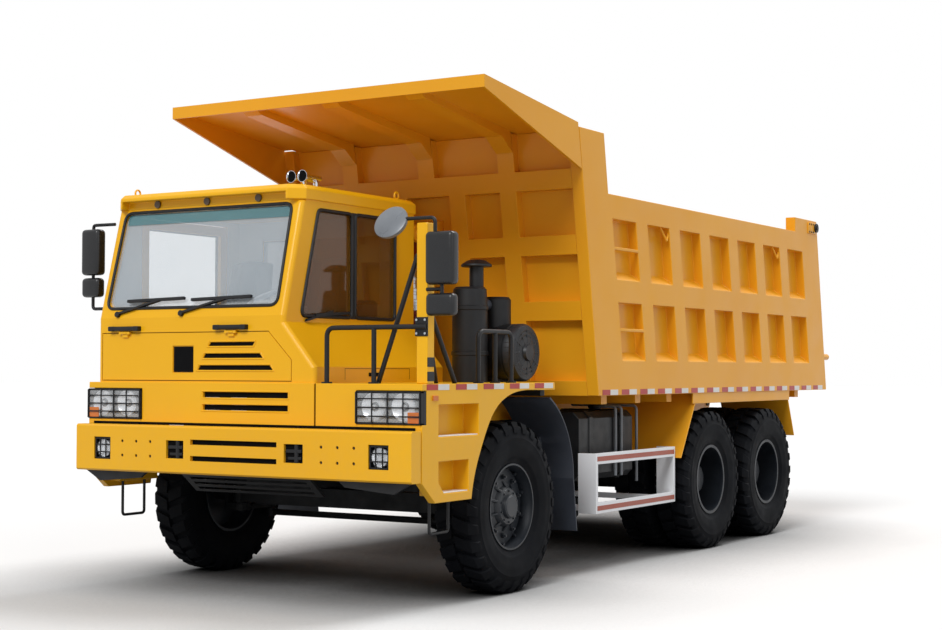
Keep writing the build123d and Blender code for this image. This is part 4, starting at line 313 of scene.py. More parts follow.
def softened(node, width, finishes, chooser=None, corner=None, cornerWidth=0.0):
    bm = bmesh.new()
    bm.from_mesh(cadNodes[node].data)
    bmesh.ops.remove_doubles(bm, verts=bm.verts, dist=softForm["weld"])
    bmesh.ops.dissolve_limit(bm, angle_limit=math.radians(softForm["flat"]), verts=bm.verts, edges=bm.edges)
    if corner:
        roundEdges(bm, [e for e in bm.edges if corner(e)], cornerWidth, softForm["cornerSteps"])
    sharpAngle = math.radians(softForm["sharp"])
    sharp = [e for e in bm.edges if len(e.link_faces) == 2 and e.calc_face_angle() > sharpAngle]
    roundEdges(bm, sharp, width, softForm["steps"])
    bm.normal_update()
    if chooser:
        for face in bm.faces:
            face.material_index = chooser(face.calc_center_median())
    obj = newObject(pieceName("soft", node), bm, finishes, bodyOf[node])
    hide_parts(node)


def addBox(bm, low, high, bevel=0.0):
    middle = [(a + b) / 2 for a, b in zip(low, high)]
    size = [b - a for a, b in zip(low, high)]
    made = bmesh.ops.create_cube(bm, size=1, matrix=Matrix.Translation(middle) @ Matrix.Diagonal((*size, 1)))
    if bevel:
        edges = {e for v in made["verts"] for e in v.link_edges}
        roundEdges(bm, list(edges), bevel, softForm["steps"])


def sideRange(side, reaches):
    return sorted(side * reach for reach in reaches)


def addFrame(bm, x, z, edge, back, front):
    for (x0, x1), (z0, z1) in (
        (x, (z[0], z[0] + edge)), (x, (z[1] - edge, z[1])), ((x[0], x[0] + edge), z), ((x[1] - edge, x[1]), z),
    ):
        addBox(bm, (x0, front, z0), (x1, back, z1), 0.003)


def addRod(bm, start, end, radius, sides=12, tip=None):
    start, end = Vector(start), Vector(end)
    turn = (end - start).to_track_quat("Z", "Y").to_matrix().to_4x4()
    bmesh.ops.create_cone(
        bm, cap_ends=True, segments=sides, radius1=radius, radius2=radius if tip is None else tip,
        depth=(end - start).length, matrix=Matrix.Translation((start + end) / 2) @ turn,
    )


def addSpun(bm, profile, centre, axis, steps, closed=False):
    # profile gives (distance along the axis, radius) pairs
    axis = Vector(axis)
    across = axis.orthogonal().normalized()
    rim = [bm.verts.new(Vector(centre) + axis * along + across * out) for along, out in profile]
    pairs = list(zip(rim, rim[1:] + rim[:1])) if closed else list(zip(rim, rim[1:]))
    edges = [bm.edges.new(pair) for pair in pairs]
    bmesh.ops.spin(
        bm, geom=rim + edges, cent=centre, axis=axis, dvec=(0, 0, 0), angle=math.tau, steps=steps, use_merge=True,
    )
    bmesh.ops.remove_doubles(bm, verts=bm.verts, dist=0.00002)


def addPlate(bm, corners, push):
    face = bm.faces.new([bm.verts.new(c) for c in corners])
    grown = bmesh.ops.extrude_face_region(bm, geom=[face])
    bmesh.ops.translate(bm, vec=push, verts=[g for g in grown["geom"] if isinstance(g, bmesh.types.BMVert)])


def bentPath(points, bend, closed=False, steps=6):
    points = [Vector(p) for p in points]
    count = len(points)
    path = []
    for i, corner in enumerate(points):
        if not closed and i in (0, count - 1):
            path.append(corner)
            continue
        before = (points[i - 1] - corner).normalized()
        after = (points[(i + 1) % count] - corner).normalized()
        reach = bend / max(math.tan(before.angle(after) / 2), 0.05)
        first, last = corner + before * reach, corner + after * reach
        for k in range(steps + 1):
            t = k / steps
            path.append(first * (1 - t) ** 2 + corner * 2 * t * (1 - t) + last * t * t)
    return path


def tubeAlong(name, paths, radius, finish, body="chassis", closed=False, sides=3):
    curve = bpy.data.curves.new(name, "CURVE")
    curve.dimensions = "3D"
    curve.bevel_depth = radius
    curve.bevel_resolution = sides
    curve.use_fill_caps = True
    for path in paths:
        line = curve.splines.new("POLY")
        line.points.add(len(path) - 1)
        for point, place in zip(line.points, path):
            point.co = (*place, 1)
        line.use_cyclic_u = closed
    curve.materials.append(finish)
    return addPiece(name, curve, body)


# painted panels with soft edges
panelEdges = {
    "bumper": 0.010, "fender_left": 0.008, "fender_right": 0.008, "mirror_post": 0.008, "cab_roof": 0.012,
    "front_hatch": 0.006, "door": 0.006, "bed_floor": 0.006, "bed_side_left": 0.010, "bed_side_right": 0.010,
    "bed_front": 0.010, "bed_canopy": 0.006, "tailgate": 0.010,
}
for panelNode, panelEdge in panelEdges.items():
    onBed = bodyOf[panelNode] in ("dump_body", "gate")
    softened(panelNode, panelEdge, bedPaintWithPaintedShade if onBed else yellowPaint)

cabForm = {
    "frontY": -4.340, "slope": 0.2554, "slopeFrom": 2.2,  # the front leans back above this height
    "leftX": 0.36, "rightX": -1.59, "skirtOut": 0.30, "skirtTop": 2.15, "skirtTall": 0.35,
    "inside": (-1.545, 0.315), "insideFront": 0.0485, "insideRear": -2.585, "insideFloor": 1.72,
    "edge": 0.006, "corner": 0.06,
}


def cabFrontY(z):
    return cabForm["frontY"] + cabForm["slope"] * max(z - cabForm["slopeFrom"], 0)


def cabSide(middle):
    inX = cabForm["inside"][0] < middle.x < cabForm["inside"][1]
    inY = cabFrontY(middle.z) + cabForm["insideFront"] < middle.y < cabForm["insideRear"]
    return 1 if inX and inY and middle.z > cabForm["insideFloor"] else 0


def cabCorner(edge):
    ends = [v.co for v in edge.verts]
    front = all(abs(c.y - cabFrontY(c.z)) < 0.006 for c in ends)
    falls = [min(max((cabForm["skirtTop"] - c.z) / cabForm["skirtTall"], 0), 1) for c in ends]
    left = all(abs(c.x - (cabForm["leftX"] + cabForm["skirtOut"] * fall)) < 0.004 for c, fall in zip(ends, falls))
    right = all(abs(c.x - cabForm["rightX"]) < 0.004 for c in ends)
    return front and (left or right)


softened("cab_shell", cabForm["edge"], [yellowPaint, greyTrim], cabSide, cabCorner, cabForm["corner"])
softened("rear_fenders", 0.003, bedPaintWithPaintedShade)
softened("side_guards", 0.006, whitePaint)
softened("fuel_tank", 0.012, blackPaint)
softened("mudflaps", 0.004, flapRubber)
print("panels softened")


# tyres: round carcass with slanted lugs, the same mesh set down ten times
tyreForm = {"lugs": 28, "share": 0.62, "outerShare": 0.8, "slant": 0.5, "steps": 84, "ridge": 0.004}
tyreBm = bmesh.new()
ridge = tyreForm["ridge"]
tyreHalf = [
    (0.142, 0.348), (0.150, 0.372), (0.163, 0.395), (0.165 + ridge, 0.402), (0.170, 0.412), (0.1855, 0.470),
    (0.1875, 0.505), (0.186, 0.545), (0.1835 + ridge, 0.552), (0.183, 0.562), (0.178, 0.605), (0.168, 0.636),
    (0.150, 0.650),
]
tyreRing = [(-x, r) for x, r in tyreHalf] + [(0.0, 0.655)] + list(reversed(tyreHalf))
addSpun(tyreBm, tyreRing, (0, 0, 0), (1, 0, 0), tyreForm["steps"], closed=True)
lugStations = [(0.010, 0.685, 0.645), (0.075, 0.685, 0.642), (0.148, 0.680, 0.638), (0.1865, 0.622, 0.590)]
pitch = math.tau / tyreForm["lugs"]
lugBm = bmesh.new()
bmesh.ops.create_cube(lugBm, size=1)
lugLong = [e for e in lugBm.edges if abs(e.verts[0].co.x - e.verts[1].co.x) > 0.5]
bmesh.ops.subdivide_edges(lugBm, edges=lugLong, cuts=2, use_grid_fill=True)
lugMesh = bpy.data.meshes.new("lugPattern")
lugBm.to_mesh(lugMesh)
lugBm.free()
lugsBm = bmesh.new()
for side in (-1, 1):
    for lug in range(tyreForm["lugs"]):
        before = len(lugsBm.verts)
        lugsBm.from_mesh(lugMesh)
        lugsBm.verts.ensure_lookup_table()
        for v in lugsBm.verts[before:]:
            station = round((v.co.x + 0.5) * 3)
            x, top, base = lugStations[station]
            width = tyreForm["share"] * (1.0 if station < 3 else tyreForm["outerShare"])
            angle = (lug + 0.5 * (side > 0) + tyreForm["slant"] * station / 3 + width * v.co.y) * pitch
            out = top if v.co.z > 0 else base
            v.co = Vector((side * x, out * math.cos(angle), out * math.sin(angle)))
lugsBm.to_mesh(lugMesh)
lugsBm.free()
tyreBm.from_mesh(lugMesh)
bmesh.ops.recalc_face_normals(tyreBm, faces=tyreBm.faces)
tyreMesh = bpy.data.meshes.new("tyrePattern")
tyreBm.to_mesh(tyreMesh)
tyreBm.free()


def setDown(bm, mesh, place, turned):
    before = len(bm.verts)
    bm.from_mesh(mesh)
    bm.verts.ensure_lookup_table()
    fresh = bm.verts[before:]
    if turned:
        bmesh.ops.rotate(bm, cent=(0, 0, 0), matrix=Matrix.Rotation(math.pi, 3, "Z"), verts=fresh)
    bmesh.ops.translate(bm, vec=place, verts=fresh)


wheelPlaces = {
    "front_left": [(1.445, -2.96)], "front_right": [(-1.445, -2.96)],
    "rear_left_1": [(1.445, 0.99), (1.015, 0.99)], "rear_left_2": [(1.445, 2.49), (1.015, 2.49)],
    "rear_right_1": [(-1.445, 0.99), (-1.015, 0.99)], "rear_right_2": [(-1.445, 2.49), (-1.015, 2.49)],
}
wheelForm = {"centreZ": 0.685, "smooth": 35}


def addWheelPiece(start, wheelName, mesh, places, finish):
    node = start + ("_" if "front" in wheelName else "s_") + wheelName
    bm = bmesh.new()
    for x, y in places:
        setDown(bm, mesh, (x, y, wheelForm["centreZ"]), x < 0)
    obj = newObject(pieceName(start, wheelName), bm, finish, bodyOf[node], wheelForm["smooth"])
    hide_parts(node)


for wheelName, places in wheelPlaces.items():
    addWheelPiece("tyre", wheelName, tyreMesh, places, tyreRubber)
print("tyres made")

# rims: front ones shallow, rear ones a deep dish on one barrel
rimForm = {
    "steps": 48, "nuts": 10, "nutRing": 0.235, "nutRadius": 0.019, "nutTall": 0.028, "studRadius": 0.010,
    "studTall": 0.042, "clampRing": 0.306, "clampRadius": 0.014, "braceRadius": 0.012, "capRing": 0.124,
    "capBolt": 0.008,
}
frontRim = [
    (-0.150, 0.345), (-0.150, 0.325), (0.020, 0.318), (0.050, 0.300), (0.058, 0.200), (0.075, 0.165), (0.105, 0.150),
    (0.118, 0.140), (0.118, 0.098), (0.140, 0.092), (0.1495, 0.080), (0.1495, 0.0), (0.010, 0.0), (0.010, 0.160),
    (0.030, 0.280), (0.030, 0.3245), (0.105, 0.3245), (0.118, 0.330), (0.150, 0.331), (0.150, 0.345),
]
rearShell = [(-0.580, 0.345), (-0.580, 0.325), (0.118, 0.325), (0.128, 0.318), (0.150, 0.318), (0.150, 0.345)]
rearDish = [
    (-0.124, 0.324), (-0.105, 0.300), (-0.100, 0.200), (-0.090, 0.165), (-0.015, 0.150), (0.003, 0.140),
    (0.020, 0.112), (0.020, 0.0), (-0.124, 0.0),
]
rimKinds = {
    "front": {"nutFace": 0.052, "capFace": 0.118, "profiles": ((frontRim, True),)},
    "rear": {"nutFace": -0.104, "capFace": 0.003, "profiles": ((rearShell, True), (rearDish, False))},
}


def addPeg(bm, seat, low, high, radius, sides=6):
    addRod(bm, seat + Vector((low, 0, 0)), seat + Vector((high, 0, 0)), radius, sides)


rimMeshes = {}
for kind, form in rimKinds.items():
    bm = bmesh.new()
    for profile, closed in form["profiles"]:
        addSpun(bm, profile, (0, 0, 0), (1, 0, 0), rimForm["steps"], closed)
    nutFace, capFace = form["nutFace"], form["capFace"]
    for nut in range(rimForm["nuts"]):
        angle = math.tau * (nut + 0.5) / rimForm["nuts"]
        out = Vector((0, math.cos(angle), math.sin(angle)))
        addPeg(bm, out * rimForm["nutRing"], nutFace, nutFace + rimForm["nutTall"], rimForm["nutRadius"])
        addPeg(bm, out * rimForm["nutRing"], nutFace, nutFace + rimForm["studTall"], rimForm["studRadius"], 8)
        if kind == "front":
            brace = out * 0.150 + Vector((0.098, 0, 0)), out * 0.196 + Vector((0.058, 0, 0))
            addRod(bm, *brace, rimForm["braceRadius"], 6)
            addPeg(bm, out * rimForm["clampRing"], 0.045, 0.075, rimForm["clampRadius"])
        addPeg(bm, out * rimForm["capRing"], capFace - 0.010, capFace + 0.010, rimForm["capBolt"])
    rimMeshes[kind] = bpy.data.meshes.new(kind + "RimPattern")
    bmesh.ops.recalc_face_normals(bm, faces=bm.faces)
    bm.to_mesh(rimMeshes[kind])
    bm.free()
for wheelName, places in wheelPlaces.items():
    kind = wheelName.split("_")[0]
    addWheelPiece("rim", wheelName, rimMeshes[kind], places[:1], rimPaint)
print("rims made")

# cab glass: clear windshield, side and rear panes with a painted brown reflection, gaskets and a teal band
glassForm = {
    "frontTo": -4.0, "frontLeft": 0.3,  # panes ahead of and right of these are the windshield
    "gasket": 0.013, "paneGasket": 0.015, "bend": 0.075, "paneBend": 0.05, "squareBend": 0.01,
    "paneX": 0.362, "doorX": -1.591, "rearY": -2.539,
}
cabGlassBm = bmesh.new()
cabGlassBm.from_mesh(cadNodes["cab_glass"].data)
bmesh.ops.remove_doubles(cabGlassBm, verts=cabGlassBm.verts, dist=softForm["weld"])
for face in cabGlassBm.faces:
    middle = face.calc_center_median()
    face.material_index = 0 if middle.y < glassForm["frontTo"] and middle.x < glassForm["frontLeft"] else 1
cabGlass = newObject("cabGlass", cabGlassBm, [windshieldGlass, paintedReflectionGlass])
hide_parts("cab_glass")


def onWindshield(x, z, out):
    return (x, cabFrontY(z) - out, z)


def addGasket(name, loops, bend="squareBend", radius="gasket", body="chassis"):
    paths = [bentPath(loop, glassForm[bend], True) for loop in loops]
    tubeAlong(name, paths, glassForm[radius], darkPlastic, body, True)


windshieldLoop = [
    onWindshield(x, z, 0.002) for x, z in ((-1.511, 2.279), (0.281, 2.279), (0.266, 3.091), (-1.496, 3.091))
]
addGasket("windshieldGasket", [windshieldLoop], "bend")
paneLoops = [
    [(glassForm["paneX"], y, z) for y, z in corners]
    for corners in (
        ((-4.129, 2.2), (-3.908, 3.05), (-3.4525, 3.05), (-3.4525, 2.2)),
        ((-3.4075, 2.2), (-3.4075, 3.05), (-2.83, 3.05), (-2.83, 2.2)),
    )
]
addGasket("paneGaskets", paneLoops, "paneBend", "paneGasket")
bm = bmesh.new()
addBox(bm, (0.352, -3.462, 2.19), (0.367, -3.398, 3.06))
newObject("paneDivider", bm, darkPlastic)
bm = bmesh.new()
addPlate(
    bm,
    [onWindshield(x, z, -0.0165) for x, z in ((-1.47, 2.985), (0.24, 2.985), (0.245, 3.072), (-1.475, 3.072))],
    (0, -0.001, 0),
)
newObject("windshieldBand", bm, tealGlass)
bm = bmesh.new()
addBox(bm, (-1.598, -2.965, 2.020), (-1.588, -2.825, 2.080), 0.004)
addBox(bm, (-1.618, -2.950, 2.036), (-1.594, -2.850, 2.056), 0.006)
newObject("doorHandle", bm, blackPaint, "cab_door")
doorLoop = [(glassForm["doorX"], y, z) for y, z in ((-3.79, 2.18), (-3.79, 2.99), (-2.85, 2.99), (-2.85, 2.18))]
addGasket("doorGasket", [doorLoop], body="cab_door")
rearLoop = [(x, glassForm["rearY"], z) for x, z in ((-1.265, 2.35), (0.035, 2.35), (0.035, 2.95), (-1.265, 2.95))]
addGasket("rearGasket", [rearLoop])
print("glass set")

# rails, hanging steps and grab handles as round tube
railForm = {
    "radius": 0.019, "bend": 0.07, "thin": 0.012, "thinBend": 0.03, "deckZ": 1.675,
    "frontY": -4.322, "frontTop": 2.095, "sideX": 1.6, "sideTop": 2.08, "stepX": 1.54,
}
deckZ, frontY, frontTop = railForm["deckZ"], railForm["frontY"], railForm["frontTop"]
sideX, sideTop = railForm["sideX"], railForm["sideTop"]
frontHoop = [(0.762, frontY, deckZ), (0.762, frontY, frontTop), (1.660, frontY, frontTop)]
sideHoop = [(sideX, -3.49, deckZ), (sideX, -3.49, sideTop), (sideX, -2.99, sideTop), (sideX, -2.99, deckZ)]
railPaths = [
    bentPath(frontHoop, railForm["bend"]),
    [(1.197, frontY, deckZ), (1.197, frontY, frontTop)],
    [(1.197, -4.262, 1.682), (1.545, -4.255, 2.630)],
    bentPath(sideHoop, railForm["bend"]),
    [(sideX, -3.24, deckZ), (sideX, -3.24, sideTop)],
    [(1.605, -4.215, 2.26), (1.605, -3.84, 1.68)],
    [(1.585, -4.215, 2.20), (1.46, -3.88, 1.68)],
]
deckRails = tubeAlong("deckRails", railPaths, railForm["radius"], blackPaint, sides=4)
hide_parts("deck_rails")
thinPaths = []
for x in (-railForm["stepX"], railForm["stepX"]):
    stepLoop = [(x, y, z) for y, z in ((-4.09, 0.844), (-4.09, 0.557), (-3.83, 0.557), (-3.83, 0.844))]
    thinPaths.append(bentPath(stepLoop, railForm["thinBend"]))
tubeAlong("thinRails", thinPaths, railForm["thin"], blackPaint)
bm = bmesh.new()
for x, y in ((0.762, frontY), (1.197, frontY), (sideX, -3.49), (sideX, -3.24), (sideX, -2.99)):
    addRod(bm, (x, y, deckZ), (x, y, deckZ + 0.012), 0.042, 16)
addBox(bm, (1.556, -4.312, 2.025), (1.668, -4.302, 2.165), 0.004)
for z in (1.695, 1.80):
    addBox(bm, (1.650, -4.30, z), (1.664, -4.21, z + 0.07), 0.003)
for x in (-1.278, -0.155):
    for shift in (-0.135, 0.135):
        addBox(bm, (x + shift - 0.03, -4.386, 2.092), (x + shift + 0.03, -4.322, 2.132), 0.008)
    addRod(bm, (x - 0.14, -4.366, 2.112), (x + 0.14, -4.366, 2.112), 0.019, 16)
newObject("railFeet", bm, blackPaint)
bm = bmesh.new()
for x in (1.575, 1.649):
    for z in (2.045, 2.145):
        addRod(bm, (x, -4.302, z), (x, -4.322, z), 0.010, 6)
newObject("postBolts", bm, steelMetal)
print("rails made")

# mirrors: rounded shells on bent arms, silvered glass behind
mirrorForm = {
    "corner": 0.034, "steps": 4, "glassIn": 0.03, "arm": 0.014,
    "roundPlace": (1.345, -4.303, 2.863), "roundAxis": (0, -0.866, 0.5),
}
mirrorShells = (
    ((1.664, -4.358, 2.398), (1.908, -4.248, 2.788)), ((1.664, -4.351, 2.171), (1.908, -4.255, 2.336)),
    ((-1.908, -4.240, 2.575), (-1.708, -4.130, 2.965)), ((-1.908, -4.233, 2.388), (-1.708, -4.137, 2.553)),
)
bm = bmesh.new()
for low, high in mirrorShells:
    addBox(bm, low, high)
roundEdges(bm, list(bm.edges), mirrorForm["corner"], mirrorForm["steps"])
shells = newObject("mirrorShells", bm, mirrorPlastic, smooth=40)
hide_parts("mirrors")
bm = bmesh.new()
inset = mirrorForm["glassIn"]
for (x0, y0, z0), (x1, y1, z1) in mirrorShells:
    addBox(bm, (x0 + inset, y1 - 0.001, z0 + inset), (x1 - inset, y1 + 0.002, z1 - inset))
newObject("mirrorGlass", bm, chromeMetal)
armPaths = [
    [(1.786, -4.303, 2.30), (1.786, -4.303, 2.44)],
    [(1.655, -4.303, 2.367), (1.79, -4.303, 2.367)],
    bentPath([(1.726, -4.303, 2.76), (1.726, -4.303, 2.893), (1.345, -4.303, 2.893)], 0.04),
    bentPath([(-1.808, -4.185, 2.93), (-1.808, -4.185, 3.0), (-1.575, -4.170, 3.0)], 0.025),
    bentPath([(-1.808, -4.185, 2.58), (-1.808, -4.185, 2.29), (-1.585, -4.185, 2.29)], 0.03),
]
tubeAlong("mirrorArms", armPaths, mirrorForm["arm"], blackPaint)
bm = bmesh.new()
roundProfile = [
    (-0.030, 0.0), (-0.030, 0.09), (-0.015, 0.125), (0.010, 0.139), (0.024, 0.138), (0.030, 0.128), (0.030, 0.0),
]
addSpun(bm, roundProfile, mirrorForm["roundPlace"], mirrorForm["roundAxis"], 40)
newObject("roundMirror", bm, mirrorGrey, smooth=40)
print("mirrors made")

# lamps: silver bowls behind clear lenses in black frames
lampForm = {
    "x": 1.365, "half": 0.293, "z": (1.375, 1.621), "frame": 0.016, "bar": 0.006, "guardY": -4.390,
    "bowlShift": 0.135, "bowlZ": 1.505, "amber": (1.540, 1.642), "markers": (1.6605, 1.672),
    "fogX": 1.37, "fogZ": 1.138, "fogHalf": 0.088, "fogFrame": 0.014, "fogGuardY": -4.499, "tailX": 0.76,
}
bowlProfile = [(0.0, 0.0), (0.004, 0.03), (0.010, 0.065), (0.026, 0.098), (0.030, 0.105), (0.0, 0.108)]
fogProfile = [(0.0, 0.0), (0.004, 0.03), (0.012, 0.055), (0.026, 0.070), (0.0, 0.073)]
bodyBm, bowlBm, lensBm, frameBm, amberBm, tailBm = (bmesh.new() for i in range(6))
guardPaths = []
z0, z1 = lampForm["z"]
edge, bowlZ, guardY = lampForm["frame"], lampForm["bowlZ"], lampForm["guardY"]
fogZ, fogHalf, fogGuardY = lampForm["fogZ"], lampForm["fogHalf"], lampForm["fogGuardY"]
for side in (-1, 1):
    lampX = side * lampForm["x"]
    x0, x1 = lampX - lampForm["half"], lampX + lampForm["half"]
    addBox(bodyBm, (x0, -4.346, z0), (x1, -4.312, z1))
    addFrame(frameBm, (x0, x1), (z0, z1), edge, -4.340, -4.380)
    for bowlX in (lampX - lampForm["bowlShift"], lampX + lampForm["bowlShift"]):
        addSpun(bowlBm, bowlProfile, (bowlX, -4.345, bowlZ), (0, -1, 0), 32)
        addRod(bowlBm, (bowlX, -4.345, bowlZ), (bowlX, -4.366, bowlZ), 0.016, 10)
        addRod(frameBm, (bowlX, -4.344, bowlZ), (bowlX, -4.350, bowlZ), 0.116, 32)
    addBox(lensBm, (x0 + edge, -4.3785, z0 + edge), (x1 - edge, -4.3765, z1 - edge))
    inner, outer = sideRange(side, lampForm["amber"])
    addBox(amberBm, (inner, -4.3825, z0 + 0.012), (outer, -4.376, z0 + 0.092), 0.002)
    inner, outer = sideRange(side, lampForm["markers"])
    addBox(amberBm, (inner, -4.235, 1.552), (outer, -4.165, 1.588), 0.003)
    for z in (1.435, 1.50, 1.565):
        guardPaths.append([(x0 + 0.005, guardY, z), (x1 - 0.005, guardY, z)])
    for shift in (-0.285, -0.14, 0.0, 0.14, 0.285):
        guardPaths.append([(lampX + shift, guardY, z) for z in (z0 + 0.006, z1 - 0.006)])
    fogX = side * lampForm["fogX"]
    fogSpanX, fogSpanZ = (fogX - fogHalf, fogX + fogHalf), (fogZ - fogHalf, fogZ + fogHalf)
    addBox(bodyBm, (fogSpanX[0], -4.462, fogSpanZ[0]), (fogSpanX[1], -4.383, fogSpanZ[1]))
    addFrame(frameBm, fogSpanX, fogSpanZ, lampForm["fogFrame"], -4.455, -4.500)
    addSpun(bowlBm, fogProfile, (fogX, -4.462, fogZ), (0, -1, 0), 28)
    addRod(lensBm, (fogX, -4.488, fogZ), (fogX, -4.491, fogZ), 0.072, 28)
    for shift in (-0.03, 0.03):
        guardPaths.append([(fogX + shift, fogGuardY, fogZ + end) for end in (-0.082, 0.082)])
        guardPaths.append([(fogX + end, fogGuardY, fogZ + shift) for end in (-0.082, 0.082)])
    tailX = side * lampForm["tailX"]
    addBox(bodyBm, (tailX - 0.21, 3.705, 1.04), (tailX + 0.21, 3.738, 1.14))
    addBox(tailBm, (tailX - 0.20, 3.737, 1.05), (tailX + 0.08 * side + 0.05, 3.745, 1.13), 0.003)
lampBodies = newObject("lampBodies", bodyBm, darkPlastic)
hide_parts("lamps")
newObject("lampBowls", bowlBm, lampSilver, smooth=50)
newObject("lampLenses", lensBm, lampGlass)
newObject("lampFrames", frameBm, blackPaint)
newObject("amberLenses", amberBm, amberGlass)
tubeAlong("lampGuards", guardPaths, lampForm["bar"], blackPaint, sides=1)
newObject("tailLenses", tailBm, redGlass)
print("lamps made")

# dark backs (painted shade in the slots and tow pockets), dark seam lines, lips, bolts and pins on the nose
noseForm = {
    "lip": 0.007, "lipSides": 10, "hookX": 0.59, "bolt": 0.0125, "boltX": (0.85, 1.0, 1.15), "boltZ": (1.0865, 1.2015),
    "slots": (  # front, low, high and half width
        (-4.368, 1.451, 1.509, 0.436), (-4.368, 1.551, 1.609, 0.436),
        (-4.503, 1.053, 1.107, 0.441), (-4.503, 1.181, 1.235, 0.441),
    ),
    "louvres": (
        ((-0.395, 1.965), (0.055, 1.965), (0.075, 1.995), (-0.375, 1.995)),
        ((-0.450, 1.870), (0.155, 1.870), (0.125, 1.905), (-0.430, 1.905)),
        ((-0.505, 1.775), (0.255, 1.775), (0.225, 1.812), (-0.485, 1.812)),
    ),
}
bm = bmesh.new()
# painted shade: dark plates behind the bumper and lamp slots
for z in (1.080, 1.208):
    addBox(bm, (-0.428, -4.480, z - 0.019), (0.428, -4.474, z + 0.019))
for z in (1.48, 1.58):
    addBox(bm, (-0.424, -4.345, z - 0.021), (0.424, -4.338, z + 0.021))
# a dark seam line across the nose
addBox(bm, (-1.60, -4.3725, 1.334), (1.60, -4.3705, 1.3535))
# painted shade at the back of the tow pockets
for x in (-noseForm["hookX"], noseForm["hookX"]):
    addBox(bm, (x - 0.0895, -4.486, 1.0755), (x + 0.0895, -4.432, 1.2165))
# a dark seam line beside the left fender
addBox(bm, (0.6868, -4.3712, 1.354), (0.6932, -4.3692, 1.674))
newObject("noseBacks", bm, darkJointAndPaintedShade)
bm = bmesh.new()
for side in (-1, 1):
    for x in noseForm["boltX"]:
        for z in noseForm["boltZ"]:
            addRod(bm, (side * x, -4.50, z), (side * x, -4.4695, z), noseForm["bolt"], 8)
    hookX = side * noseForm["hookX"]
    addRod(bm, (hookX + 0.02, -4.488, 1.078), (hookX + 0.02, -4.488, 1.214), 0.020, 16)
    addBox(bm, (hookX - 0.075, -4.506, 1.150), (hookX + 0.075, -4.480, 1.178), 0.006)
    addBox(bm, (hookX - 0.060, -4.502, 1.098), (hookX + 0.070, -4.480, 1.122), 0.006)
    irons = [(side * x, -4.440, z) for x, z in ((1.62, 0.956), (0.95, 0.956), (1.02, 0.905), (1.46, 0.868))]
    addPlate(bm, irons, (0, 0.03, 0))
newObject("noseIrons", bm, blackPaint)


def addLip(bm, y, corners):
    for (x0, z0), (x1, z1) in zip(corners, corners[1:] + corners[:1]):
        addRod(bm, (x0, y, z0), (x1, y, z1), noseForm["lip"], noseForm["lipSides"])


bm = bmesh.new()
for y, low, high, half in noseForm["slots"]:
    addLip(bm, y, [(-half, low), (half, low), (half, high), (-half, high)])
newObject("noseLips", bm, yellowPaint, smooth=40)
backBm, lipBm = bmesh.new(), bmesh.new()
# painted shade: dark plates behind the louvre openings
for corners in noseForm["louvres"]:
    addPlate(backBm, [(x, -4.3275, z) for x, z in corners], (0, -0.0015, 0))
    midX, midZ = (sum(c[k] for c in corners) / 4 for k in (0, 1))
    wide = [(x + math.copysign(0.012, x - midX), z + math.copysign(0.007, z - midZ)) for x, z in corners]
    addLip(lipBm, -4.339, wide)
addBox(backBm, (-0.762, -4.338, 1.758), (-0.558, -4.330, 1.962), 0.012)
newObject("hatchBacks", backBm, darkJointAndPaintedShade, "hatch")
newObject("hatchLips", lipBm, yellowPaint, "hatch", smooth=40)
print("nose dressed")

# reflecting tape, guard stripes and step plates
tapeForm = {
    "length": 0.15, "step": 0.155,
    "deck": {"pairs": 5, "x": (1.6604, 1.6616), "start": -4.31, "pitch": 0.40, "z": (1.629, 1.672)},
    "bed": {"pairs": 15, "x": (1.6144, 1.6156), "start": -1.42, "pitch": 0.38, "z": (1.556, 1.604)},
    "stripes": {"x": (1.5552, 1.5562), "y": (-1.405, 0.205), "z": (0.536, 0.971), "tall": 0.042},
    "steps": {"x": (1.54, 1.652), "places": ((-4.142, -3.585, 1.283), (-4.066, -3.731, 0.863)), "thick": 0.008},
}


def layTape(place, body):
    form = tapeForm[place]
    for colour, finish, step in (("Red", tapeRed, 0.0), ("White", tapeWhite, tapeForm["step"])):
        bm = bmesh.new()
        for side in (-1, 1):
            inner, outer = sideRange(side, form["x"])
            for pair in range(form["pairs"]):
                y = form["start"] + pair * form["pitch"] + step
                addBox(bm, (inner, y, form["z"][0]), (outer, y + tapeForm["length"], form["z"][1]))
        newObject(place + "Tape" + colour, bm, finish, body)


layTape("deck", "chassis")
layTape("bed", "dump_body")
stripeBm, stepBm = bmesh.new(), bmesh.new()
stripes, steps = tapeForm["stripes"], tapeForm["steps"]
for side in (-1, 1):
    inner, outer = sideRange(side, stripes["x"])
    for z in stripes["z"]:
        addBox(stripeBm, (inner, stripes["y"][0], z), (outer, stripes["y"][1], z + stripes["tall"]))
    inner, outer = sideRange(side, steps["x"])
    for y0, y1, z in steps["places"]:
        addBox(stepBm, (inner, y0, z), (outer, y1, z + steps["thick"]), 0.002)
newObject("guardStripes", stripeBm, guardRed)
newObject("stepPlates", stepBm, whitePaint)
bm = bmesh.new()
for y0, y1, z0, z1 in ((-3.95, -3.947, 1.70, 1.79), (-3.05, -3.047, 1.70, 1.79), (-3.95, -3.047, 1.786, 1.789)):
    addBox(bm, (0.6603, y0, z0), (0.6612, y1, z1))
addBox(bm, (0.6603, -3.63, 1.725), (0.668, -3.47, 1.755), 0.003)
newObject("skirtSeams", bm, darkJointAndPaintedShade)
print("tapes set")

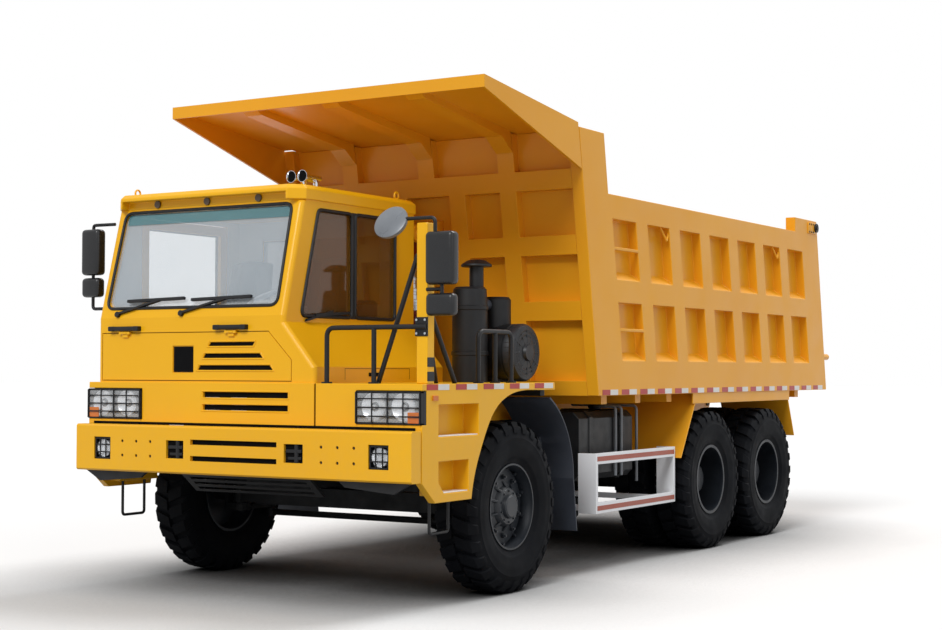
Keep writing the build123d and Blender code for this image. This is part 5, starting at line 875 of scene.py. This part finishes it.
# lifting hooks, pivot plates and pins on the bed
bedForm = {
    "pivot": (3.985, 3.43), "pin": 0.026, "collar": 0.052, "bolt": 0.011,
    "hookY": (-0.0625, 2.8095), "hookHalf": 0.10, "hook": 0.012,
}
ironBm, boltBm = bmesh.new(), bmesh.new()
for side in (-1, 1):
    inner, outer = sideRange(side, (1.612, 1.624))
    addBox(ironBm, (inner, 3.74, 3.355), (outer, 4.02, 3.485), 0.004)
    for y in bedForm["hookY"]:
        for end in (y - bedForm["hookHalf"], y + bedForm["hookHalf"]):
            addRod(ironBm, (side * 1.580, end, 3.135), (side * 1.604, y, 3.010), bedForm["hook"], 10)
    for reach, radius, sides in ((1.642, bedForm["collar"], 24), (1.652, bedForm["pin"], 16)):
        addRod(boltBm, (side * 1.610, *bedForm["pivot"]), (side * reach, *bedForm["pivot"]), radius, sides)
    for y in (3.78, 3.84, 3.90):
        for z in (3.375, 3.465):
            addRod(boltBm, (side * 1.62, y, z), (side * 1.630, y, z), bedForm["bolt"], 6)
newObject("bedIrons", ironBm, bedPaintWithPaintedShade, "dump_body", smooth=35)
newObject("bedBolts", boltBm, blackPaint, "dump_body", smooth=35)
print("bed dressed")

# air cleaner: lying drum with a grey cover, can with a rain cap, small drum and hose
cleanerForm = {
    "drum": (0.93, -2.29, 1.925), "ribs": 12, "rib": 0.008, "fins": 36, "fin": 0.0065, "finRing": 0.2385,
    "coverFrom": 1.245, "can": (1.02, -2.68, 1.675), "smallDrum": (1.04, -2.29, 1.675),
    "stem": (1.06, -2.64), "stemRadius": 0.06, "hose": 0.05, "hoseBend": 0.03,
}
drumProfile = [
    (0.0, 0.0), (0.0, 0.232), (0.012, 0.244), (0.300, 0.244), (0.304, 0.236), (0.316, 0.236), (0.320, 0.244),
    (0.385, 0.244), (0.410, 0.228), (0.420, 0.195), (0.412, 0.180), (0.420, 0.160), (0.412, 0.140), (0.420, 0.120),
    (0.420, 0.075), (0.444, 0.066), (0.444, 0.0),
]
canProfile = [
    (0.0, 0.0), (0.0, 0.148), (0.22, 0.148), (0.225, 0.155), (0.255, 0.155), (0.26, 0.148), (0.60, 0.148),
    (0.605, 0.155), (0.635, 0.155), (0.64, 0.148), (0.775, 0.140), (0.795, 0.120), (0.795, 0.0),
]
smallProfile = [(0.0, 0.0), (0.0, 0.122), (0.01, 0.13), (0.70, 0.13), (0.725, 0.11), (0.725, 0.0)]
rainProfile = [
    (0.0, 0.0), (0.0, 0.125), (0.008, 0.13), (0.020, 0.128), (0.052, 0.08), (0.060, 0.05), (0.060, 0.0),
]


def onDrum(x, turn, radius):
    y, z = cleanerForm["drum"][1:]
    return Vector((x, y + radius * math.cos(math.tau * turn), z + radius * math.sin(math.tau * turn)))


bm = bmesh.new()
addSpun(bm, drumProfile, cleanerForm["drum"], (1, 0, 0), 48)
for rib in range(cleanerForm["ribs"]):
    turn = rib / cleanerForm["ribs"]
    addRod(bm, onDrum(1.346, turn, 0.08), onDrum(1.340, turn, 0.215), cleanerForm["rib"], 6)
for fin in range(cleanerForm["fins"]):
    turn, ring = fin / cleanerForm["fins"], cleanerForm["finRing"]
    addRod(bm, onDrum(1.252, turn, ring), onDrum(1.312, turn, ring), cleanerForm["fin"], 6)
for face in bm.faces:
    face.material_index = 1 if face.calc_center_median().x > cleanerForm["coverFrom"] else 0
cleanerDrum = newObject("cleanerDrum", bm, [blackPaint, coverGrey], smooth=35)
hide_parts("air_cleaner")
bm = bmesh.new()
addSpun(bm, canProfile, cleanerForm["can"], (0, 0, 1), 40)
addSpun(bm, smallProfile, cleanerForm["smallDrum"], (0, 0, 1), 36)
addRod(bm, (*cleanerForm["stem"], 2.44), (*cleanerForm["stem"], 2.65), cleanerForm["stemRadius"], 24)
addSpun(bm, rainProfile, (*cleanerForm["stem"], 2.64), (0, 0, 1), 32)
newObject("cleanerCans", bm, blackPaint, smooth=35)
hosePath = bentPath([(1.02, -2.56, 2.20), (1.02, -2.50, 2.33), (1.03, -2.36, 2.33)], cleanerForm["hoseBend"])
tubeAlong("cleanerHose", [hosePath], cleanerForm["hose"], flapRubber, sides=5)
print("air cleaner made")

# hoist: round barrel and stages
hoistForm = {
    "y": -2.06, "barrelZ": 0.985, "stageZ": 1.018, "wall": 0.017, "groove": 0.004, "pinZ": 0.9, "eyeZ": 3.0,
    "headFrom": 2.72, "stages": ((0.116, 2.41), (0.098, 2.51), (0.080, 2.61)),  # radius and top
}
hoistY, pinZ, eyeZ = hoistForm["y"], hoistForm["pinZ"], hoistForm["eyeZ"]
barrelProfile = [
    (0.0, 0.0), (0.0, 0.134), (0.006, 0.140), (1.262, 0.140), (1.266, 0.133), (1.282, 0.133), (1.286, 0.140),
    (1.319, 0.140), (1.325, 0.134), (1.325, 0.1172), (0.04, 0.1172), (0.04, 0.0),
]
bm = bmesh.new()
addSpun(bm, barrelProfile, (0, hoistY, hoistForm["barrelZ"]), (0, 0, 1), 40)
addRod(bm, (-0.1, hoistY, pinZ), (0.1, hoistY, pinZ), 0.088, 32)
addBox(bm, (-0.1, hoistY - 0.088, pinZ), (0.1, hoistY + 0.088, 0.99), 0.004)
hoistBarrel = newObject("hoistBarrel", bm, redPaint, "barrel", smooth=35)
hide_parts("hoist_barrel")
for stage, (radius, top) in enumerate(hoistForm["stages"], 1):
    tall = top - hoistForm["stageZ"]
    shallow, inner = radius - hoistForm["groove"], radius - hoistForm["wall"]
    stageProfile = [
        (0.0, radius), (tall - 0.06, radius), (tall - 0.056, shallow), (tall - 0.036, shallow),
        (tall - 0.032, radius), (tall - 0.004, radius), (tall, shallow), (tall, inner), (0.0, inner),
    ]
    bm = bmesh.new()
    addSpun(bm, stageProfile, (0, hoistY, hoistForm["stageZ"]), (0, 0, 1), 40, closed=True)
    obj = newObject("hoistStage%d" % stage, bm, steelMetal, "stage_%d" % stage, smooth=35)
    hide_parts("hoist_stage_%d" % stage)
headProfile = [(0.0, 0.0), (0.0, 0.062), (1.717, 0.062), (1.717, 0.0)]
bm = bmesh.new()
addSpun(bm, headProfile, (0, hoistY, hoistForm["stageZ"]), (0, 0, 1), 36)
addBox(bm, (-0.045, hoistY - 0.062, 2.735), (0.045, hoistY + 0.062, eyeZ), 0.008)
addRod(bm, (-0.045, hoistY, eyeZ), (0.045, hoistY, eyeZ), 0.078, 32)
for face in bm.faces:
    face.material_index = 1 if face.calc_center_median().z > hoistForm["headFrom"] else 0
hoistHead = newObject("hoistHead", bm, [steelMetal, redPaint], "stage_4", smooth=35)
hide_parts("hoist_stage_4")
print("hoist made")

# horns with painted shade in their mouths, roof lamps and lifting eyes
roofForm = {
    "horns": ((0.19, 0.30), (0.30, 0.24)), "hornY": -4.04, "hornZ": 3.31,  # each horn's place and length
    "lampX": (-1.15, -0.615, -0.08), "lampZ": 3.150, "lamp": 0.030,
    "eyes": ((0.27, -3.98), (0.30, -2.72), (-1.50, -3.98), (-1.50, -2.72)), "eyeRing": 0.030, "eyeRod": 0.008,
}
hornZ = roofForm["hornZ"]
hornBm, mouthShadeBm = bmesh.new(), bmesh.new()
for x, long in roofForm["horns"]:
    hornProfile = [
        (0.0, 0.0), (0.0, 0.016), (0.01, 0.020), (long - 0.10, 0.020), (long - 0.06, 0.026), (long - 0.025, 0.036),
        (long, 0.048), (long, 0.045), (long - 0.03, 0.030), (long - 0.09, 0.012), (long - 0.09, 0.0),
    ]
    addSpun(hornBm, hornProfile, (x, roofForm["hornY"] + long, hornZ), (0, -1, 0), 28)
    addBox(hornBm, (x - 0.013, -3.88, 3.236), (x + 0.013, -3.84, 3.30), 0.003)
    # painted shade: dark discs inside the horn mouths
    addRod(mouthShadeBm, (x, -4.024, hornZ), (x, -4.026, hornZ), 0.037, 20)
hornPair = newObject("hornPair", hornBm, chromeMetal, smooth=40)
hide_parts("horns")
bm = bmesh.new()
for x in roofForm["lampX"]:
    addRod(bm, (x, -4.104, roofForm["lampZ"]), (x, -4.122, roofForm["lampZ"]), roofForm["lamp"], 20)
newObject("roofLamps", bm, roofBronze)
newObject("hornMouthShade", mouthShadeBm, darkJointAndPaintedShade)
rod, ring = roofForm["eyeRod"], roofForm["eyeRing"]
eyeProfile = [(rod * math.cos(math.tau * k / 8), ring + rod * math.sin(math.tau * k / 8)) for k in range(8)]
bm = bmesh.new()
for x, y in roofForm["eyes"]:
    addSpun(bm, eyeProfile, (x, y, 3.272), (1, 0, 0), 20, closed=True)
    addRod(bm, (x, y, 3.236), (x, y, 3.248), 0.020, 12)
newObject("roofEyes", bm, yellowPaint, smooth=50)
print("roof dressed")

# tank pipes and filler cap
tankForm = {"pipe": 0.014, "pipeTop": 1.44, "cap": (1.02, -0.42, 1.398)}
pipePaths = []
for x, y, low, inward, bend in (
    (1.338, -0.62, 0.80, 1.20, 0.04), (1.338, -0.50, 0.80, 1.20, 0.04), (1.30, -0.10, 0.72, 0.60, 0.05),
):
    pipe = [(x, y, low), (x, y, tankForm["pipeTop"]), (inward, y, tankForm["pipeTop"])]
    pipePaths.append(bentPath(pipe, bend))
tubeAlong("tankPipes", pipePaths, tankForm["pipe"], mirrorGrey)
capProfile = [
    (0.0, 0.0), (0.0, 0.060), (0.020, 0.060), (0.024, 0.068), (0.044, 0.066), (0.050, 0.058), (0.050, 0.0),
]
bm = bmesh.new()
addSpun(bm, capProfile, tankForm["cap"], (0, 0, 1), 28)
newObject("tankCap", bm, blackPaint, smooth=40)
print("tank dressed")

# seats: cushions swollen as cloth, then sewn channels, on a plain base
seatForm = {
    "round": 0.28, "cuts": 12, "voxel": 0.010, "pressure": 4.0, "frames": 20, "cap": 0.009, "fill": 0.6,
    "seam": 0.45, "seamWidth": 0.05, "seamDepth": 0.007, "lean": 0.17, "places": {"driver": -0.18, "mate": -1.08},
    "cushion": ((-0.248, -3.558, 2.062), (0.248, -3.116, 2.162)),
    "back": ((-0.248, -3.112, 2.064), (0.248, -3.012, 2.758)),
    "base": ((-0.18, -3.43, 1.725), (0.18, -3.03, 2.06)),
}


def cushionForm(low, high):
    bm = bmesh.new()
    bmesh.ops.create_cube(bm, size=2)
    bmesh.ops.subdivide_edges(bm, edges=bm.edges[:], cuts=seatForm["cuts"], use_grid_fill=True)
    for v in bm.verts:
        a, b, c = v.co
        ball = Vector((
            a * math.sqrt(1 - b * b / 2 - c * c / 2 + b * b * c * c / 3),
            b * math.sqrt(1 - a * a / 2 - c * c / 2 + a * a * c * c / 3),
            c * math.sqrt(1 - a * a / 2 - b * b / 2 + a * a * b * b / 3),
        ))
        soft = v.co.lerp(ball, seatForm["round"])
        v.co = [(p + q) / 2 + ((q - p) / 2 - seatForm["cap"]) * k for p, q, k in zip(low, high, soft)]
    bmesh.ops.recalc_face_normals(bm, faces=bm.faces)
    mesh = bpy.data.meshes.new("cushionForm")
    bm.to_mesh(mesh)
    bm.free()
    return mesh


def evaluated(obj):
    return obj.evaluated_get(bpy.context.evaluated_depsgraph_get())


def swollenForm(low, high):
    obj = bpy.data.objects.new("cushionForm", cushionForm(low, high))
    link(obj)
    remesh = obj.modifiers.new("remesh", "REMESH")
    remesh.mode = "VOXEL"
    remesh.voxel_size = seatForm["voxel"]
    mesh = bpy.data.meshes.new_from_object(evaluated(obj))
    obj.modifiers.clear()
    obj.data = mesh
    cloth = obj.modifiers.new("cloth", "CLOTH")
    cloth.settings.use_pressure = True
    cloth.settings.uniform_pressure_force = seatForm["pressure"]
    cloth.settings.effector_weights.gravity = 0
    for step in range(1, seatForm["frames"] + 1):
        scene.frame_set(step)
    swollen = [v.co.copy() for v in evaluated(obj).data.vertices]
    obj.modifiers.clear()
    scene.frame_set(1)
    for v, place in zip(mesh.vertices, swollen):
        move = place - v.co
        v.co = v.co + move * min(1.0, seatForm["cap"] / max(move.length, 1e-9))
    bpy.data.objects.remove(obj)
    return mesh


def sewnCushion(name, pattern, x, lean, upright):
    bm = bmesh.new()
    bm.from_mesh(pattern)
    middle = sum((v.co for v in bm.verts), Vector()) / len(bm.verts)
    half = max(v.co.x for v in bm.verts)
    base = min(v.co.z for v in bm.verts)
    for v in bm.verts:
        off = (abs(v.co.x) / half - seatForm["seam"]) / seatForm["seamWidth"]
        dip = seatForm["seamDepth"] * math.exp(-off * off)
        if upright and v.co.y < middle.y:
            v.co.y += dip
        elif not upright and v.co.z > middle.z:
            v.co.z -= dip
        v.co.y += lean * (v.co.z - base)
    bmesh.ops.translate(bm, vec=(x, 0, 0), verts=bm.verts)
    obj = newObject(name, bm, seatCloth, smooth=60)
    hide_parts("seats")


baseLow, baseHigh = seatForm["base"]
bm = bmesh.new()
for x in seatForm["places"].values():
    addBox(bm, (x + baseLow[0], *baseLow[1:]), (x + baseHigh[0], *baseHigh[1:]), 0.01)
seatBase = newObject("seatBase", bm, darkPlastic)
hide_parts("seats")
cushionPattern = swollenForm(*seatForm["cushion"])
backPattern = swollenForm(*seatForm["back"])
for seatName, x in seatForm["places"].items():
    sewnCushion(seatName + "Cushion", cushionPattern, x, 0.0, False)
    sewnCushion(seatName + "Back", backPattern, x, seatForm["lean"], True)
print("seats made")

# finishes of the CAD nodes
nodeFinishes = (
    (yellowPaint, "bumper fender_left fender_right mirror_post cab_shell cab_roof door front_hatch"),
    (bedPaintWithPaintedShade, "bed_floor bed_side_left bed_side_right bed_front bed_canopy rear_fenders tailgate"),
    (ironBlack, "frame_rails crossmembers hoist_cradle engine front_axle rear_axles leaf_springs prop_shafts"),
    (ironBlack, "knuckle_left knuckle_right tie_rod"),
    (blackPaint, "under_guard deck_rails wipers air_cleaner fuel_tank"),
    (whitePaint, "side_guards"), (flapRubber, "mudflaps"), (mirrorPlastic, "mirrors"), (dashGrey, "dashboard"),
    (chromeMetal, "lamps horns"), (seatCloth, "seats"), (windshieldGlass, "cab_glass"), (clearGlass, "door_glass"),
    (redPaint, "hoist_barrel hoist_stage_4"), (steelMetal, "hoist_stage_1 hoist_stage_2 hoist_stage_3"),
)
finishOf = {nodeName: finish for finish, names in nodeFinishes for nodeName in names.split()}
for nodeName, node in cadNodes.items():
    if nodeName.startswith("tyre"):
        finish = tyreRubber
    elif nodeName.startswith("rim"):
        finish = rimPaint
    else:
        finish = finishOf[nodeName]
    node.data.materials.clear()
    node.data.materials.append(finish)
print("nodes painted")
